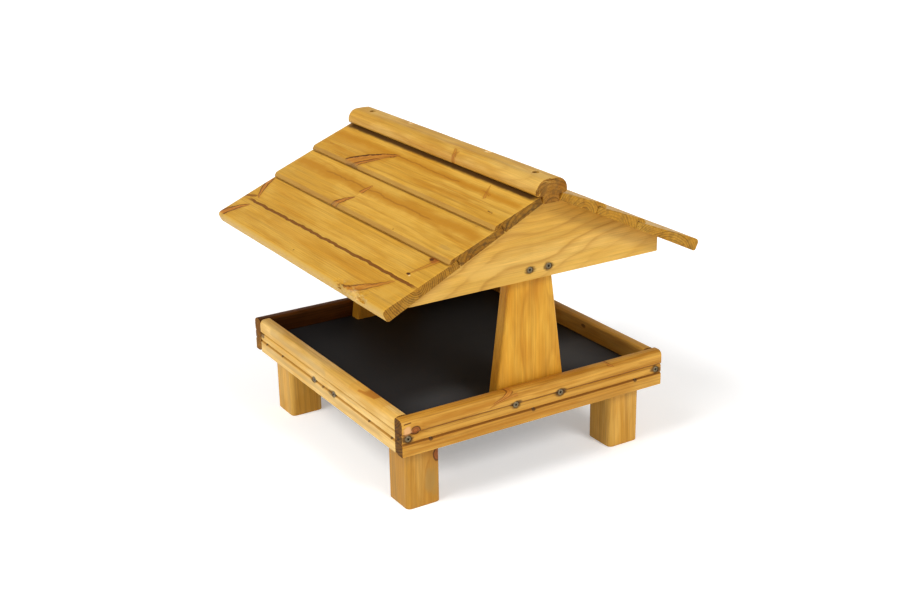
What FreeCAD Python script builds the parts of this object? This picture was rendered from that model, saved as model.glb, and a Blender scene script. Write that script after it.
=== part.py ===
import FreeCAD, Part
import math
import os

# Wooden bird table: a shallow tray on four short feet, with an upright board and a
# gable at each end carrying a lapped board roof and a ridge cap.  All sizes in mm.
# The ridge runs along Y, the eaves face -X and +X, and the floor is at Z = 0.

# Tray
TRAY_WIDTH = 371.0
TRAY_DEPTH = 394.0
RAIL_HEIGHT = 45.0
RAIL_THICKNESS = 16.5
RAIL_UNDERSIDE = 81.0
RAIL_TOP_OUTER_RADIUS = 6.5
RAIL_TOP_INNER_RADIUS = 4.0
RAIL_FOOT_INNER_RADIUS = 8.0
RAIL_ARRIS_RADIUS = 0.8
GROOVE_LOW = 16.0
GROOVE_HIGH = 27.0
GROOVE_DEPTH = 2.0
GROOVE_WIDTH = 3.2
BEAD_SETBACK = 0.5

# Feet
FOOT_SIDE = 45.0
FOOT_CORNER_RADIUS = 6.0
FOOT_END_CHAMFER = 1.2
FOOT_TO_END_RAIL = 5.0

# Floor panel and the two battens below it
FLOOR_THICKNESS = 9.0
FLOOR_DEPTH_BELOW_RAIL = 23.0
BATTEN_WIDTH = 18.0
BATTEN_TO_FOOT = 2.5

# Uprights
UPRIGHT_THICKNESS = 19.0
UPRIGHT_FOOT_WIDTH = 99.0
UPRIGHT_NECK_WIDTH = 58.0
UPRIGHT_EDGE_RADIUS = 3.0
UPRIGHT_BELOW_ROOF = 12.0

# Gables
GABLE_THICKNESS = 16.5
GABLE_UNDERSIDE = 258.5
GABLE_HALF_WIDTH = 172.0
GABLE_END_HEIGHT = 17.6
GABLE_EDGE_RADIUS = 1.2

# Roof
ROOF_LENGTH = 440.0
ROOF_PITCH = 26.0
BOARD_UPPER_EDGE = 8.5
BOARD_LOWER_EDGE = 14.2
EAVE_THICKNESS = 15.0
RIDGE_TO_BOARD = 13.0
EXPOSURE_UPPER = 66.7
EXPOSURE_MIDDLE = 64.0
EXPOSURE_LOWER = 91.5
LAP = 10.0
LAP_GAP = 1.6
LAP_FIT = 0.15
NOSE_CHAMFER_RUN = 4.6
NOSE_CHAMFER_DROP = 3.0
NOSE_RADIUS = 0.8
EAVE_LOWER_RADIUS = 3.4
EAVE_TOP_RADIUS = 5.0

# Ridge cap
CAP_WIDTH = 42.0
CAP_HEAD_HEIGHT = 19.0
CAP_TOP_RADIUS = 14.0
CAP_LOWER_RADIUS = 4.5
CAP_STEM_GAP = 1.2
CAP_STEM_FIT = 0.6
CAP_SEAT_FIT = 0.1

# Countersunk screws and roof nails
SCREW_HEAD = 7.6
SCREW_HEAD_DEPTH = 2.8
SCREW_SHANK = 3.6
SCREW_SUNK = 0.3
RIDGE_SCREW_SUNK = 1.6
NAIL_HEAD = 3.2
NAIL_HEAD_DEPTH = 0.8
NAIL_SHANK = 1.8
NAIL_INTO_GABLE = 16.0
UPRIGHT_SCREW_SPACING = 64.0
GABLE_SCREW_SPACING = 26.0
GABLE_SCREW_RISE = 12.0
BATTEN_SCREW_FRACTION = 0.2
RIDGE_SCREW_BITE = 18.0
UPPER_NAIL_INSET = 10.0
SCREW_MOUTH = 4.0

# Screw and pin lengths as shares of the timber they bite into
UPRIGHT_BITE = 0.8
SIDE_RAIL_BITE = 0.7
CORNER_SCREW_LENGTH = 2.4 * RAIL_THICKNESS
FLOOR_SCREW_LENGTH = 2.0 * RAIL_THICKNESS
PIN_LENGTH = 1.7 * RAIL_THICKNESS

# Nail lines on the roof boards, clear of the laps
NAIL_BELOW_LAP = 1.4 * LAP
NAIL_ABOVE_LAP = 1.9 * LAP
FLOOR_SCREW_FRACTIONS = (-0.075, 0.06)
PIN_DIAMETER = 1.8
PIN_PROUD = 0.5
END_PIN_FRACTIONS = (-0.40, -0.02, 0.39)
SIDE_PIN_FRACTIONS = (-0.30, -0.02, 0.295)
SIDE_PIN_FROM_FRONT = 9.0
SIDE_PIN_FROM_BACK = 16.5

# Levels and positions that follow from the sizes above
RAIL_TOP = RAIL_UNDERSIDE + RAIL_HEIGHT
FLOOR_TOP = RAIL_TOP - FLOOR_DEPTH_BELOW_RAIL
FLOOR_UNDERSIDE = FLOOR_TOP - FLOOR_THICKNESS
HALF_WIDTH = TRAY_WIDTH / 2.0
HALF_DEPTH = TRAY_DEPTH / 2.0
INNER_HALF_WIDTH = HALF_WIDTH - RAIL_THICKNESS
INNER_HALF_DEPTH = HALF_DEPTH - RAIL_THICKNESS
LOWER_BAND = RAIL_UNDERSIDE + (FLOOR_UNDERSIDE - RAIL_UNDERSIDE) / 2.0
GABLE_FACE = INNER_HALF_DEPTH + GABLE_THICKNESS
PITCH = math.radians(ROOF_PITCH)
ROOF_APEX = GABLE_UNDERSIDE + GABLE_END_HEIGHT + GABLE_HALF_WIDTH * math.tan(PITCH)

UPPER_START = RIDGE_TO_BOARD
UPPER_END = UPPER_START + EXPOSURE_UPPER
MIDDLE_START = UPPER_END - LAP
MIDDLE_END = UPPER_END + EXPOSURE_MIDDLE
LOWER_START = MIDDLE_END - LAP
LOWER_END = MIDDLE_END + EXPOSURE_LOWER


def rounded_face(corners, lift):
    """Flat face from (a, b, radius) corners; lift turns (a, b) into a 3-D point."""
    count = len(corners)
    edges = []
    joins = []
    for i in range(count):
        a, b, radius = corners[i]
        here = FreeCAD.Vector(a, b, 0)
        before = FreeCAD.Vector(corners[i - 1][0], corners[i - 1][1], 0)
        after = FreeCAD.Vector(corners[(i + 1) % count][0], corners[(i + 1) % count][1], 0)
        back = (before - here).normalize()
        ahead = (after - here).normalize()
        if radius <= 0.0:
            joins.append((here, here, None))
            continue
        angle = back.getAngle(ahead)
        reach = radius / math.tan(angle / 2.0)
        bisector = (back + ahead).normalize()
        centre = here + bisector * (radius / math.sin(angle / 2.0))
        joins.append((here + back * reach, here + ahead * reach, centre - bisector * radius))
    for i in range(count):
        enter, leave, middle = joins[i]
        if middle is not None:
            edges.append(Part.Arc(lift(enter), lift(middle), lift(leave)).toShape())
        start = leave
        end = joins[(i + 1) % count][0]
        edges.append(Part.makeLine(lift(start), lift(end)))
    return Part.Face(Part.Wire(edges))


def along_y(corners, y_start, length):
    """Solid with an (x, z) section running along Y."""
    face = rounded_face(corners, lambda p: FreeCAD.Vector(p.x, y_start, p.y))
    return face.extrude(FreeCAD.Vector(0, length, 0))


def slope_point(side, s, n):
    """Point on a roof slope: s runs down from the apex, n stands out from the underside."""
    x = s * math.cos(PITCH) + n * math.sin(PITCH)
    z = ROOF_APEX - s * math.sin(PITCH) + n * math.cos(PITCH)
    return FreeCAD.Vector(side * x, 0, z)


def underside_height(x):
    """Height of the roof underside above a distance x from the ridge line."""
    return ROOF_APEX - abs(x) * math.tan(PITCH)


def screw(head_point, direction, length):
    """Countersunk screw whose head face lies at head_point and whose tip follows direction."""
    axis = FreeCAD.Vector(direction).normalize()
    head = Part.makeCone(SCREW_HEAD / 2.0, SCREW_SHANK / 2.0, SCREW_HEAD_DEPTH, head_point, axis)
    shank = Part.makeCylinder(SCREW_SHANK / 2.0, length, head_point, axis)
    return head.fuse(shank)


def screw_hole(head_point, direction, length):
    """Countersunk hole for a screw, open outwards past the face of the timber."""
    axis = FreeCAD.Vector(direction).normalize()
    mouth = Part.makeCylinder(SCREW_HEAD / 2.0, SCREW_MOUTH, head_point - axis * SCREW_MOUTH, axis)
    return screw(head_point, direction, length).fuse(mouth)


def nail(side, y, s, thickness_here):
    """Roof nail driven square to the slope into the gable below."""
    axis = slope_point(side, s, 0) - slope_point(side, s, 1)
    top = slope_point(side, s, thickness_here)
    top.y = y
    head = Part.makeCylinder(NAIL_HEAD / 2.0, NAIL_HEAD_DEPTH, top, axis)
    shank = Part.makeCylinder(NAIL_SHANK / 2.0, thickness_here + NAIL_INTO_GABLE, top, axis)
    return head.fuse(shank)


def rail_corners():
    """Rail section as (t, z): t runs inwards from the outer face, z up from the underside."""
    half = GROOVE_WIDTH / 2.0
    return [
        (0.0, 0.0, RAIL_ARRIS_RADIUS),
        (0.0, GROOVE_LOW - half, 0.4),
        (GROOVE_DEPTH, GROOVE_LOW, 0.3),
        (BEAD_SETBACK, GROOVE_LOW + half, 0.6),
        (BEAD_SETBACK, GROOVE_HIGH - half, 0.6),
        (GROOVE_DEPTH, GROOVE_HIGH, 0.3),
        (0.0, GROOVE_HIGH + half, 0.4),
        (0.0, RAIL_HEIGHT, RAIL_TOP_OUTER_RADIUS),
        (RAIL_THICKNESS, RAIL_HEIGHT, RAIL_TOP_INNER_RADIUS),
        (RAIL_THICKNESS, 0.0, RAIL_FOOT_INNER_RADIUS),
    ]


def end_rail(end):
    """Full-width rail across the front (end -1) or back (end +1) of the tray."""
    def lift(p):
        return FreeCAD.Vector(-HALF_WIDTH, end * (HALF_DEPTH - p.x), RAIL_UNDERSIDE + p.y)
    return rounded_face(rail_corners(), lift).extrude(FreeCAD.Vector(TRAY_WIDTH, 0, 0))


def side_rail(side):
    """Rail down the left (side -1) or right (side +1), butted between the end rails."""
    def lift(p):
        return FreeCAD.Vector(side * (HALF_WIDTH - p.x), -INNER_HALF_DEPTH, RAIL_UNDERSIDE + p.y)
    return rounded_face(rail_corners(), lift).extrude(FreeCAD.Vector(0, 2.0 * INNER_HALF_DEPTH, 0))


def foot_centre(side, end):
    x = side * (INNER_HALF_WIDTH - FOOT_SIDE / 2.0)
    y = end * (INNER_HALF_DEPTH - FOOT_TO_END_RAIL - FOOT_SIDE / 2.0)
    return FreeCAD.Vector(x, y, 0)


def foot(side, end):
    """Square foot with rounded upright corners, reaching up to the floor panel."""
    centre = foot_centre(side, end)
    half = FOOT_SIDE / 2.0
    corners = []
    for a, b in ((-half, -half), (half, -half), (half, half), (-half, half)):
        corners.append((centre.x + a, centre.y + b, FOOT_CORNER_RADIUS))
    face = rounded_face(corners, lambda p: FreeCAD.Vector(p.x, p.y, 0))
    body = face.extrude(FreeCAD.Vector(0, 0, FLOOR_UNDERSIDE))
    rim = [e for e in body.Edges if e.BoundBox.ZMax < 0.01]
    return body.makeChamfer(FOOT_END_CHAMFER, rim)


def floor_panel():
    """Film-faced board lying inside the rails on the feet and battens."""
    origin = FreeCAD.Vector(-INNER_HALF_WIDTH, -INNER_HALF_DEPTH, FLOOR_UNDERSIDE)
    return Part.makeBox(2.0 * INNER_HALF_WIDTH, 2.0 * INNER_HALF_DEPTH, FLOOR_THICKNESS, origin)


def batten_half_length():
    return INNER_HALF_DEPTH - FOOT_TO_END_RAIL - FOOT_SIDE - BATTEN_TO_FOOT


def floor_batten(side):
    """Strip under the floor panel along a side rail, between the two feet."""
    outer = side * INNER_HALF_WIDTH
    inner = side * (INNER_HALF_WIDTH - BATTEN_WIDTH)
    corners = [
        (min(outer, inner), RAIL_UNDERSIDE, 1.0),
        (max(outer, inner), RAIL_UNDERSIDE, 1.0),
        (max(outer, inner), FLOOR_UNDERSIDE, 0.0),
        (min(outer, inner), FLOOR_UNDERSIDE, 0.0),
    ]
    half = batten_half_length()
    return along_y(corners, -half, 2.0 * half)


def upright_half_width(z):
    fraction = (z - FLOOR_TOP) / (GABLE_UNDERSIDE - FLOOR_TOP)
    return (UPRIGHT_FOOT_WIDTH + (UPRIGHT_NECK_WIDTH - UPRIGHT_FOOT_WIDTH) * fraction) / 2.0


def upright_top():
    """Highest level at which the tapering upright still clears the roof underside."""
    taper = (UPRIGHT_FOOT_WIDTH - UPRIGHT_NECK_WIDTH) / 2.0 / (GABLE_UNDERSIDE - FLOOR_TOP)
    base = UPRIGHT_FOOT_WIDTH / 2.0 + taper * FLOOR_TOP
    clear = ROOF_APEX - UPRIGHT_BELOW_ROOF - base * math.tan(PITCH)
    return clear / (1.0 - taper * math.tan(PITCH))


def upright(end):
    """Tapering board standing on the floor against the inside of an end rail."""
    low = upright_half_width(FLOOR_TOP)
    top = upright_top()
    high = upright_half_width(top)
    corners = [
        (-low, FLOOR_TOP, 0.0),
        (low, FLOOR_TOP, 0.0),
        (high, top, 0.0),
        (-high, top, 0.0),
    ]
    near = min(end * INNER_HALF_DEPTH, end * (INNER_HALF_DEPTH - UPRIGHT_THICKNESS))
    body = along_y(corners, near, UPRIGHT_THICKNESS)
    sides = [e for e in body.Edges if e.BoundBox.ZLength > (top - FLOOR_TOP) * 0.9]
    return body.makeFillet(UPRIGHT_EDGE_RADIUS, sides)


def gable_top():
    """Level of the flat at the peak of a gable, just under the stem of the ridge cap."""
    return cap_stem_bottom() - CAP_STEM_FIT


def gable(end):
    """Wide low-pointed board screwed to the outside of an upright, carrying the roof."""
    top = gable_top()
    peak = (ROOF_APEX - top) / math.tan(PITCH)
    shoulder = underside_height(GABLE_HALF_WIDTH)
    corners = [
        (-GABLE_HALF_WIDTH, GABLE_UNDERSIDE, GABLE_EDGE_RADIUS),
        (GABLE_HALF_WIDTH, GABLE_UNDERSIDE, GABLE_EDGE_RADIUS),
        (GABLE_HALF_WIDTH, shoulder, 0.0),
        (peak, top, 0.0),
        (-peak, top, 0.0),
        (-GABLE_HALF_WIDTH, shoulder, 0.0),
    ]
    near = min(end * INNER_HALF_DEPTH, end * GABLE_FACE)
    return along_y(corners, near, GABLE_THICKNESS)


def board_top(start, end, edge, s):
    """Thickness of a tapering roof board at s."""
    return BOARD_UPPER_EDGE + (edge - BOARD_UPPER_EDGE) * (s - start) / (end - start)


def roof_board(side, corners):
    def lift(p):
        point = slope_point(side, p.x, p.y)
        return FreeCAD.Vector(point.x, -ROOF_LENGTH / 2.0, point.z)
    return rounded_face(corners, lift).extrude(FreeCAD.Vector(0, ROOF_LENGTH, 0))


def lapped_board(side, start, end, below_start, below_end, below_edge):
    """Tapering board, chamfered along its lower edge, with a rebate that laps over the next board."""
    lip = board_top(below_start, below_end, below_edge, end) + LAP_FIT
    notch = end - LAP - LAP_GAP
    shoulder = end - NOSE_CHAMFER_RUN
    shoulder_top = board_top(start, end, BOARD_LOWER_EDGE, shoulder)
    corners = [
        (start, 0.0, 0.0),
        (notch, 0.0, 0.5),
        (notch, lip, 0.0),
        (end, lip, 0.3),
        (end, BOARD_LOWER_EDGE - NOSE_CHAMFER_DROP, 0.5),
        (shoulder, shoulder_top, NOSE_RADIUS),
        (start, BOARD_UPPER_EDGE, 0.6),
    ]
    return roof_board(side, corners)


def roof_board_upper(side):
    return lapped_board(side, UPPER_START, UPPER_END, MIDDLE_START, MIDDLE_END, BOARD_LOWER_EDGE)


def roof_board_middle(side):
    return lapped_board(side, MIDDLE_START, MIDDLE_END, LOWER_START, LOWER_END, EAVE_THICKNESS)


def roof_board_lower(side):
    """Eaves board, square-edged with softened corners."""
    corners = [
        (LOWER_START, 0.0, 0.0),
        (LOWER_END, 0.0, EAVE_LOWER_RADIUS),
        (LOWER_END, EAVE_THICKNESS, EAVE_TOP_RADIUS),
        (LOWER_START, BOARD_UPPER_EDGE, 0.6),
    ]
    return roof_board(side, corners)


def cap_seat():
    """Underside of the cap head, resting on the upper edges of the top boards."""
    return slope_point(1, UPPER_START, BOARD_UPPER_EDGE).z + CAP_SEAT_FIT


def cap_stem_bottom():
    return slope_point(1, UPPER_START, 0.0).z - CAP_STEM_GAP


def ridge_cap():
    """Rounded capping strip with a stem that drops between the two top boards."""
    stem = slope_point(1, UPPER_START, 0.0).x - CAP_STEM_GAP
    half = CAP_WIDTH / 2.0
    seat = cap_seat()
    top = seat + CAP_HEAD_HEIGHT
    corners = [
        (-stem, cap_stem_bottom(), 1.5),
        (stem, cap_stem_bottom(), 1.5),
        (stem, seat, 0.0),
        (half, seat, CAP_LOWER_RADIUS),
        (half, top, CAP_TOP_RADIUS),
        (-half, top, CAP_TOP_RADIUS),
        (-half, seat, CAP_LOWER_RADIUS),
        (-stem, seat, 0.0),
    ]
    return along_y(corners, -ROOF_LENGTH / 2.0, ROOF_LENGTH)


def gable_screws():
    """Two screws through each gable into the upright behind it: (point, direction, length)."""
    found = []
    z = GABLE_UNDERSIDE + GABLE_SCREW_RISE
    length = GABLE_THICKNESS + UPRIGHT_THICKNESS * UPRIGHT_BITE
    for end in (-1, 1):
        for x in (-GABLE_SCREW_SPACING / 2.0, GABLE_SCREW_SPACING / 2.0):
            point = FreeCAD.Vector(x, end * (GABLE_FACE - SCREW_SUNK), z)
            found.append((point, (0, -end, 0), length))
    return found


def upright_screws():
    """Two screws through each end rail, in the upper groove, into the foot of the upright."""
    found = []
    z = RAIL_UNDERSIDE + GROOVE_HIGH
    length = RAIL_THICKNESS + UPRIGHT_THICKNESS * UPRIGHT_BITE
    for end in (-1, 1):
        for x in (-UPRIGHT_SCREW_SPACING / 2.0, UPRIGHT_SCREW_SPACING / 2.0):
            point = FreeCAD.Vector(x, end * (HALF_DEPTH - SCREW_SUNK), z)
            found.append((point, (0, -end, 0), length))
    return found


def corner_screws():
    """One screw at each tray corner through the end rail into the end of the side rail."""
    found = []
    z = RAIL_UNDERSIDE + (GROOVE_LOW + GROOVE_HIGH) / 2.0
    for end in (-1, 1):
        for side in (-1, 1):
            x = side * (HALF_WIDTH - RAIL_THICKNESS / 2.0)
            point = FreeCAD.Vector(x, end * (HALF_DEPTH - BEAD_SETBACK - SCREW_SUNK), z)
            found.append((point, (0, -end, 0), CORNER_SCREW_LENGTH))
    return found


def floor_screws():
    """Two screws in the lower groove of each side rail into the edge of the floor panel."""
    found = []
    z = RAIL_UNDERSIDE + GROOVE_LOW
    for side in (-1, 1):
        for fraction in FLOOR_SCREW_FRACTIONS:
            y = fraction * TRAY_DEPTH
            point = FreeCAD.Vector(side * (HALF_WIDTH - SCREW_SUNK), y, z)
            found.append((point, (-side, 0, 0), FLOOR_SCREW_LENGTH))
    return found


def foot_screws():
    """One screw from the hidden inner face of each foot into the side rail."""
    found = []
    for side in (-1, 1):
        for end in (-1, 1):
            centre = foot_centre(side, end)
            x = side * (INNER_HALF_WIDTH - FOOT_SIDE + SCREW_SUNK)
            point = FreeCAD.Vector(x, centre.y, LOWER_BAND)
            found.append((point, (side, 0, 0), FOOT_SIDE + RAIL_THICKNESS * SIDE_RAIL_BITE))
    return found


def batten_screws():
    """Two screws from the inner face of each batten into the side rail."""
    found = []
    for side in (-1, 1):
        for sign in (-1, 1):
            x = side * (INNER_HALF_WIDTH - BATTEN_WIDTH + SCREW_SUNK)
            point = FreeCAD.Vector(x, sign * BATTEN_SCREW_FRACTION * TRAY_DEPTH, LOWER_BAND)
            found.append((point, (side, 0, 0), BATTEN_WIDTH + RAIL_THICKNESS * SIDE_RAIL_BITE))
    return found


def ridge_screws():
    """One screw over each gable, down through the ridge cap into the gable peak."""
    found = []
    top = cap_seat() + CAP_HEAD_HEIGHT
    length = top - gable_top() + RIDGE_SCREW_BITE
    for end in (-1, 1):
        point = FreeCAD.Vector(0, end * (GABLE_FACE - GABLE_THICKNESS / 2.0), top - RIDGE_SCREW_SUNK)
        found.append((point, (0, 0, -1), length))
    return found


def board_nails(start, end, edge, first, last):
    """Nails of one course of roof boards: two over each gable on both slopes."""
    nails = []
    for side in (-1, 1):
        for gable_end in (-1, 1):
            y = gable_end * (GABLE_FACE - GABLE_THICKNESS / 2.0)
            for s in (first, last):
                nails.append(nail(side, y, s, board_top(start, end, edge, s)))
    return nails


def roof_nails():
    lower_last = (LOWER_START + LOWER_END) / 2.0
    nails = board_nails(UPPER_START, UPPER_END, BOARD_LOWER_EDGE,
                        UPPER_START + UPPER_NAIL_INSET, UPPER_END - NAIL_ABOVE_LAP)
    nails += board_nails(MIDDLE_START, MIDDLE_END, BOARD_LOWER_EDGE,
                         MIDDLE_START + NAIL_BELOW_LAP, MIDDLE_END - NAIL_ABOVE_LAP)
    nails += board_nails(LOWER_START, LOWER_END, EAVE_THICKNESS,
                         LOWER_START + NAIL_BELOW_LAP, lower_last)
    return nails


def bored(solid, *screw_groups):
    """Timber with the countersunk holes of the given screws cut out of it."""
    for group in screw_groups:
        for point, direction, length in group:
            hole = screw_hole(point, direction, length)
            if hole.BoundBox.intersect(solid.BoundBox):
                solid = solid.cut(hole)
    return solid


def nailed(solid, nails):
    """Piece with the holes of the given nails or pins cut out of it."""
    for one in nails:
        if one.BoundBox.intersect(solid.BoundBox):
            solid = solid.cut(one)
    return solid


def floor_pins():
    """Headless pins along the lower groove of all four rails into the edge of the floor."""
    z = RAIL_UNDERSIDE + GROOVE_LOW
    radius = PIN_DIAMETER / 2.0
    sunk = GROOVE_DEPTH - PIN_PROUD
    side_places = [fraction * TRAY_DEPTH for fraction in SIDE_PIN_FRACTIONS]
    side_places.append(SIDE_PIN_FROM_FRONT - INNER_HALF_DEPTH)
    side_places.append(INNER_HALF_DEPTH - SIDE_PIN_FROM_BACK)
    pins = []
    for side in (-1, 1):
        for y in side_places:
            start = FreeCAD.Vector(side * (HALF_WIDTH - sunk), y, z)
            pins.append(Part.makeCylinder(radius, PIN_LENGTH, start, FreeCAD.Vector(-side, 0, 0)))
        for fraction in END_PIN_FRACTIONS:
            start = FreeCAD.Vector(fraction * TRAY_WIDTH, side * (HALF_DEPTH - sunk), z)
            pins.append(Part.makeCylinder(radius, PIN_LENGTH, start, FreeCAD.Vector(0, -side, 0)))
    return pins


def screw_set(group):
    return Part.makeCompound([screw(*item) for item in group])


def build():
    """All sub-parts by name, in place."""
    gables = gable_screws()
    uprights = upright_screws()
    corners = corner_screws()
    floors = floor_screws()
    feet = foot_screws()
    battens = batten_screws()
    ridges = ridge_screws()
    nails = roof_nails()
    pins = floor_pins()
    parts = {}
    for end, word in ((-1, "front"), (1, "back")):
        parts[word + "_rail"] = nailed(bored(end_rail(end), uprights, corners), pins)
        parts[word + "_upright"] = bored(upright(end), uprights, gables)
        parts[word + "_gable"] = nailed(bored(gable(end), gables, ridges), nails)
    for side, word in ((-1, "left"), (1, "right")):
        rail = bored(side_rail(side), corners, floors, feet, battens)
        parts[word + "_rail"] = nailed(rail, pins)
        parts["floor_batten_" + word] = bored(floor_batten(side), battens)
        parts["roof_board_" + word + "_upper"] = nailed(roof_board_upper(side), nails)
        parts["roof_board_" + word + "_middle"] = nailed(roof_board_middle(side), nails)
        parts["roof_board_" + word + "_lower"] = nailed(roof_board_lower(side), nails)
        for end, end_word in ((-1, "front"), (1, "back")):
            parts["foot_" + end_word + "_" + word] = bored(foot(side, end), feet)
    parts["floor_panel"] = nailed(bored(floor_panel(), floors), pins)
    parts["ridge_cap"] = bored(ridge_cap(), ridges)
    parts["gable_screws"] = screw_set(gables)
    parts["upright_screws"] = screw_set(uprights)
    parts["corner_screws"] = screw_set(corners)
    parts["floor_screws"] = screw_set(floors)
    parts["floor_pins"] = Part.makeCompound(pins)
    parts["foot_screws"] = screw_set(feet)
    parts["batten_screws"] = screw_set(battens)
    parts["ridge_screws"] = screw_set(ridges)
    parts["roof_nails"] = Part.makeCompound(nails)
    return parts


os.makedirs("parts", exist_ok=True)
for name, shape in sorted(build().items()):
    shape.exportStep("parts/" + name + ".step")
    box = shape.BoundBox
    print(name, len(shape.Solids), shape.isValid(), round(shape.Volume),
          [round(v, 1) for v in (box.XMin, box.XMax, box.YMin, box.YMax, box.ZMin, box.ZMax)])
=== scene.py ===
import math
import random

import bmesh
import bpy
from mathutils import Matrix, Vector, noise


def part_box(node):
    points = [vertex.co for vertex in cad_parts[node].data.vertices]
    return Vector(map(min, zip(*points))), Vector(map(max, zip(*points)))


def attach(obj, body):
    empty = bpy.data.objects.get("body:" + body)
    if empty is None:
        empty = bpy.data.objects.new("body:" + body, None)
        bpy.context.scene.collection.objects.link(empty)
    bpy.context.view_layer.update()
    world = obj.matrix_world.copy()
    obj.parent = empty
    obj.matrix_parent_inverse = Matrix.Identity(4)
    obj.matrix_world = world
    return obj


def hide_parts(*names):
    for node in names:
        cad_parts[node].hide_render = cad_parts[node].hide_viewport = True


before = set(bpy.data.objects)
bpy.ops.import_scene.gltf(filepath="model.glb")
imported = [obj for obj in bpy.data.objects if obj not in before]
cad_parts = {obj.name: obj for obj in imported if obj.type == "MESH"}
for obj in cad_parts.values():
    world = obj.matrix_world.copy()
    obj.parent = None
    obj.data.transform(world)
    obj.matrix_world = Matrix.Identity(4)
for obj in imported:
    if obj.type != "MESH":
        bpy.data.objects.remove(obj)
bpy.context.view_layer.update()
random.seed(7)

# Sizes of the table in millimetres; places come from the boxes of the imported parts.
MM = 0.001
ROOF_PITCH = math.radians(26.0)
GABLE_END_HEIGHT = 17.6
UPRIGHT_NECK_WIDTH = 58.0
UPPER_BOARD = (13.0, 79.7)
MIDDLE_BOARD = (69.7, 143.7)
LOWER_BOARD = (133.7, 235.2)
BOARD_UPPER_EDGE = 8.5
BOARD_LOWER_EDGE = 14.2
EAVE_THICKNESS = 15.0
LAP = 10.0
LAP_GAP = 1.6
NOSE_CHAMFER_RUN = 4.6
NOSE_CHAMFER_DROP = 3.0
SCREW_HEAD = 7.6
SCREW_HEAD_DEPTH = 2.8
SCREW_SHANK = 3.6

X_AXIS = Vector((1.0, 0.0, 0.0))
Y_AXIS = Vector((0.0, 1.0, 0.0))
Z_AXIS = Vector((0.0, 0.0, 1.0))


def box_mm(node):
    low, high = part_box(node)
    return low / MM, high / MM


GABLE_LOW, GABLE_HIGH = box_mm("front_gable")
ROOF_APEX = GABLE_LOW.z + GABLE_END_HEIGHT + GABLE_HIGH.x * math.tan(ROOF_PITCH)


# ---------------------------------------------------------------- shader maths

class Wire:
    """A value or colour inside a finish; arithmetic on it adds the nodes."""

    def __init__(self, finish, socket):
        self.finish = finish
        self.socket = socket

    def math(self, operation, other=None, third=None, swap=False, clamp=False):
        values = [self, other, third]
        if swap:
            values = [other, self, third]
        inputs = {i: v for i, v in enumerate(values) if v is not None}
        return self.finish.add("Math", {"operation": operation, "use_clamp": clamp}, inputs)

    def __add__(self, other):
        return self.math("ADD", other)

    __radd__ = __add__

    def __sub__(self, other):
        return self.math("SUBTRACT", other)

    def __rsub__(self, other):
        return self.math("SUBTRACT", other, swap=True)

    def __mul__(self, other):
        return self.math("MULTIPLY", other)

    __rmul__ = __mul__

    def __truediv__(self, other):
        return self.math("DIVIDE", other)

    def __rtruediv__(self, other):
        return self.math("DIVIDE", other, swap=True)

    def __pow__(self, power):
        return self.math("POWER", power)

    def __neg__(self):
        return self.math("MULTIPLY", -1.0)

    def __abs__(self):
        return self.math("ABSOLUTE")

    def least(self, other):
        return self.math("MINIMUM", other)

    def most(self, other):
        return self.math("MAXIMUM", other)

    def fade(self, start, end):
        """0 at start, 1 at end, eased between them; start may be the larger."""
        return self.finish.add("MapRange", {"interpolation_type": "SMOOTHSTEP"},
                               {0: self, 1: start, 2: end, 3: 0.0, 4: 1.0})


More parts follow.
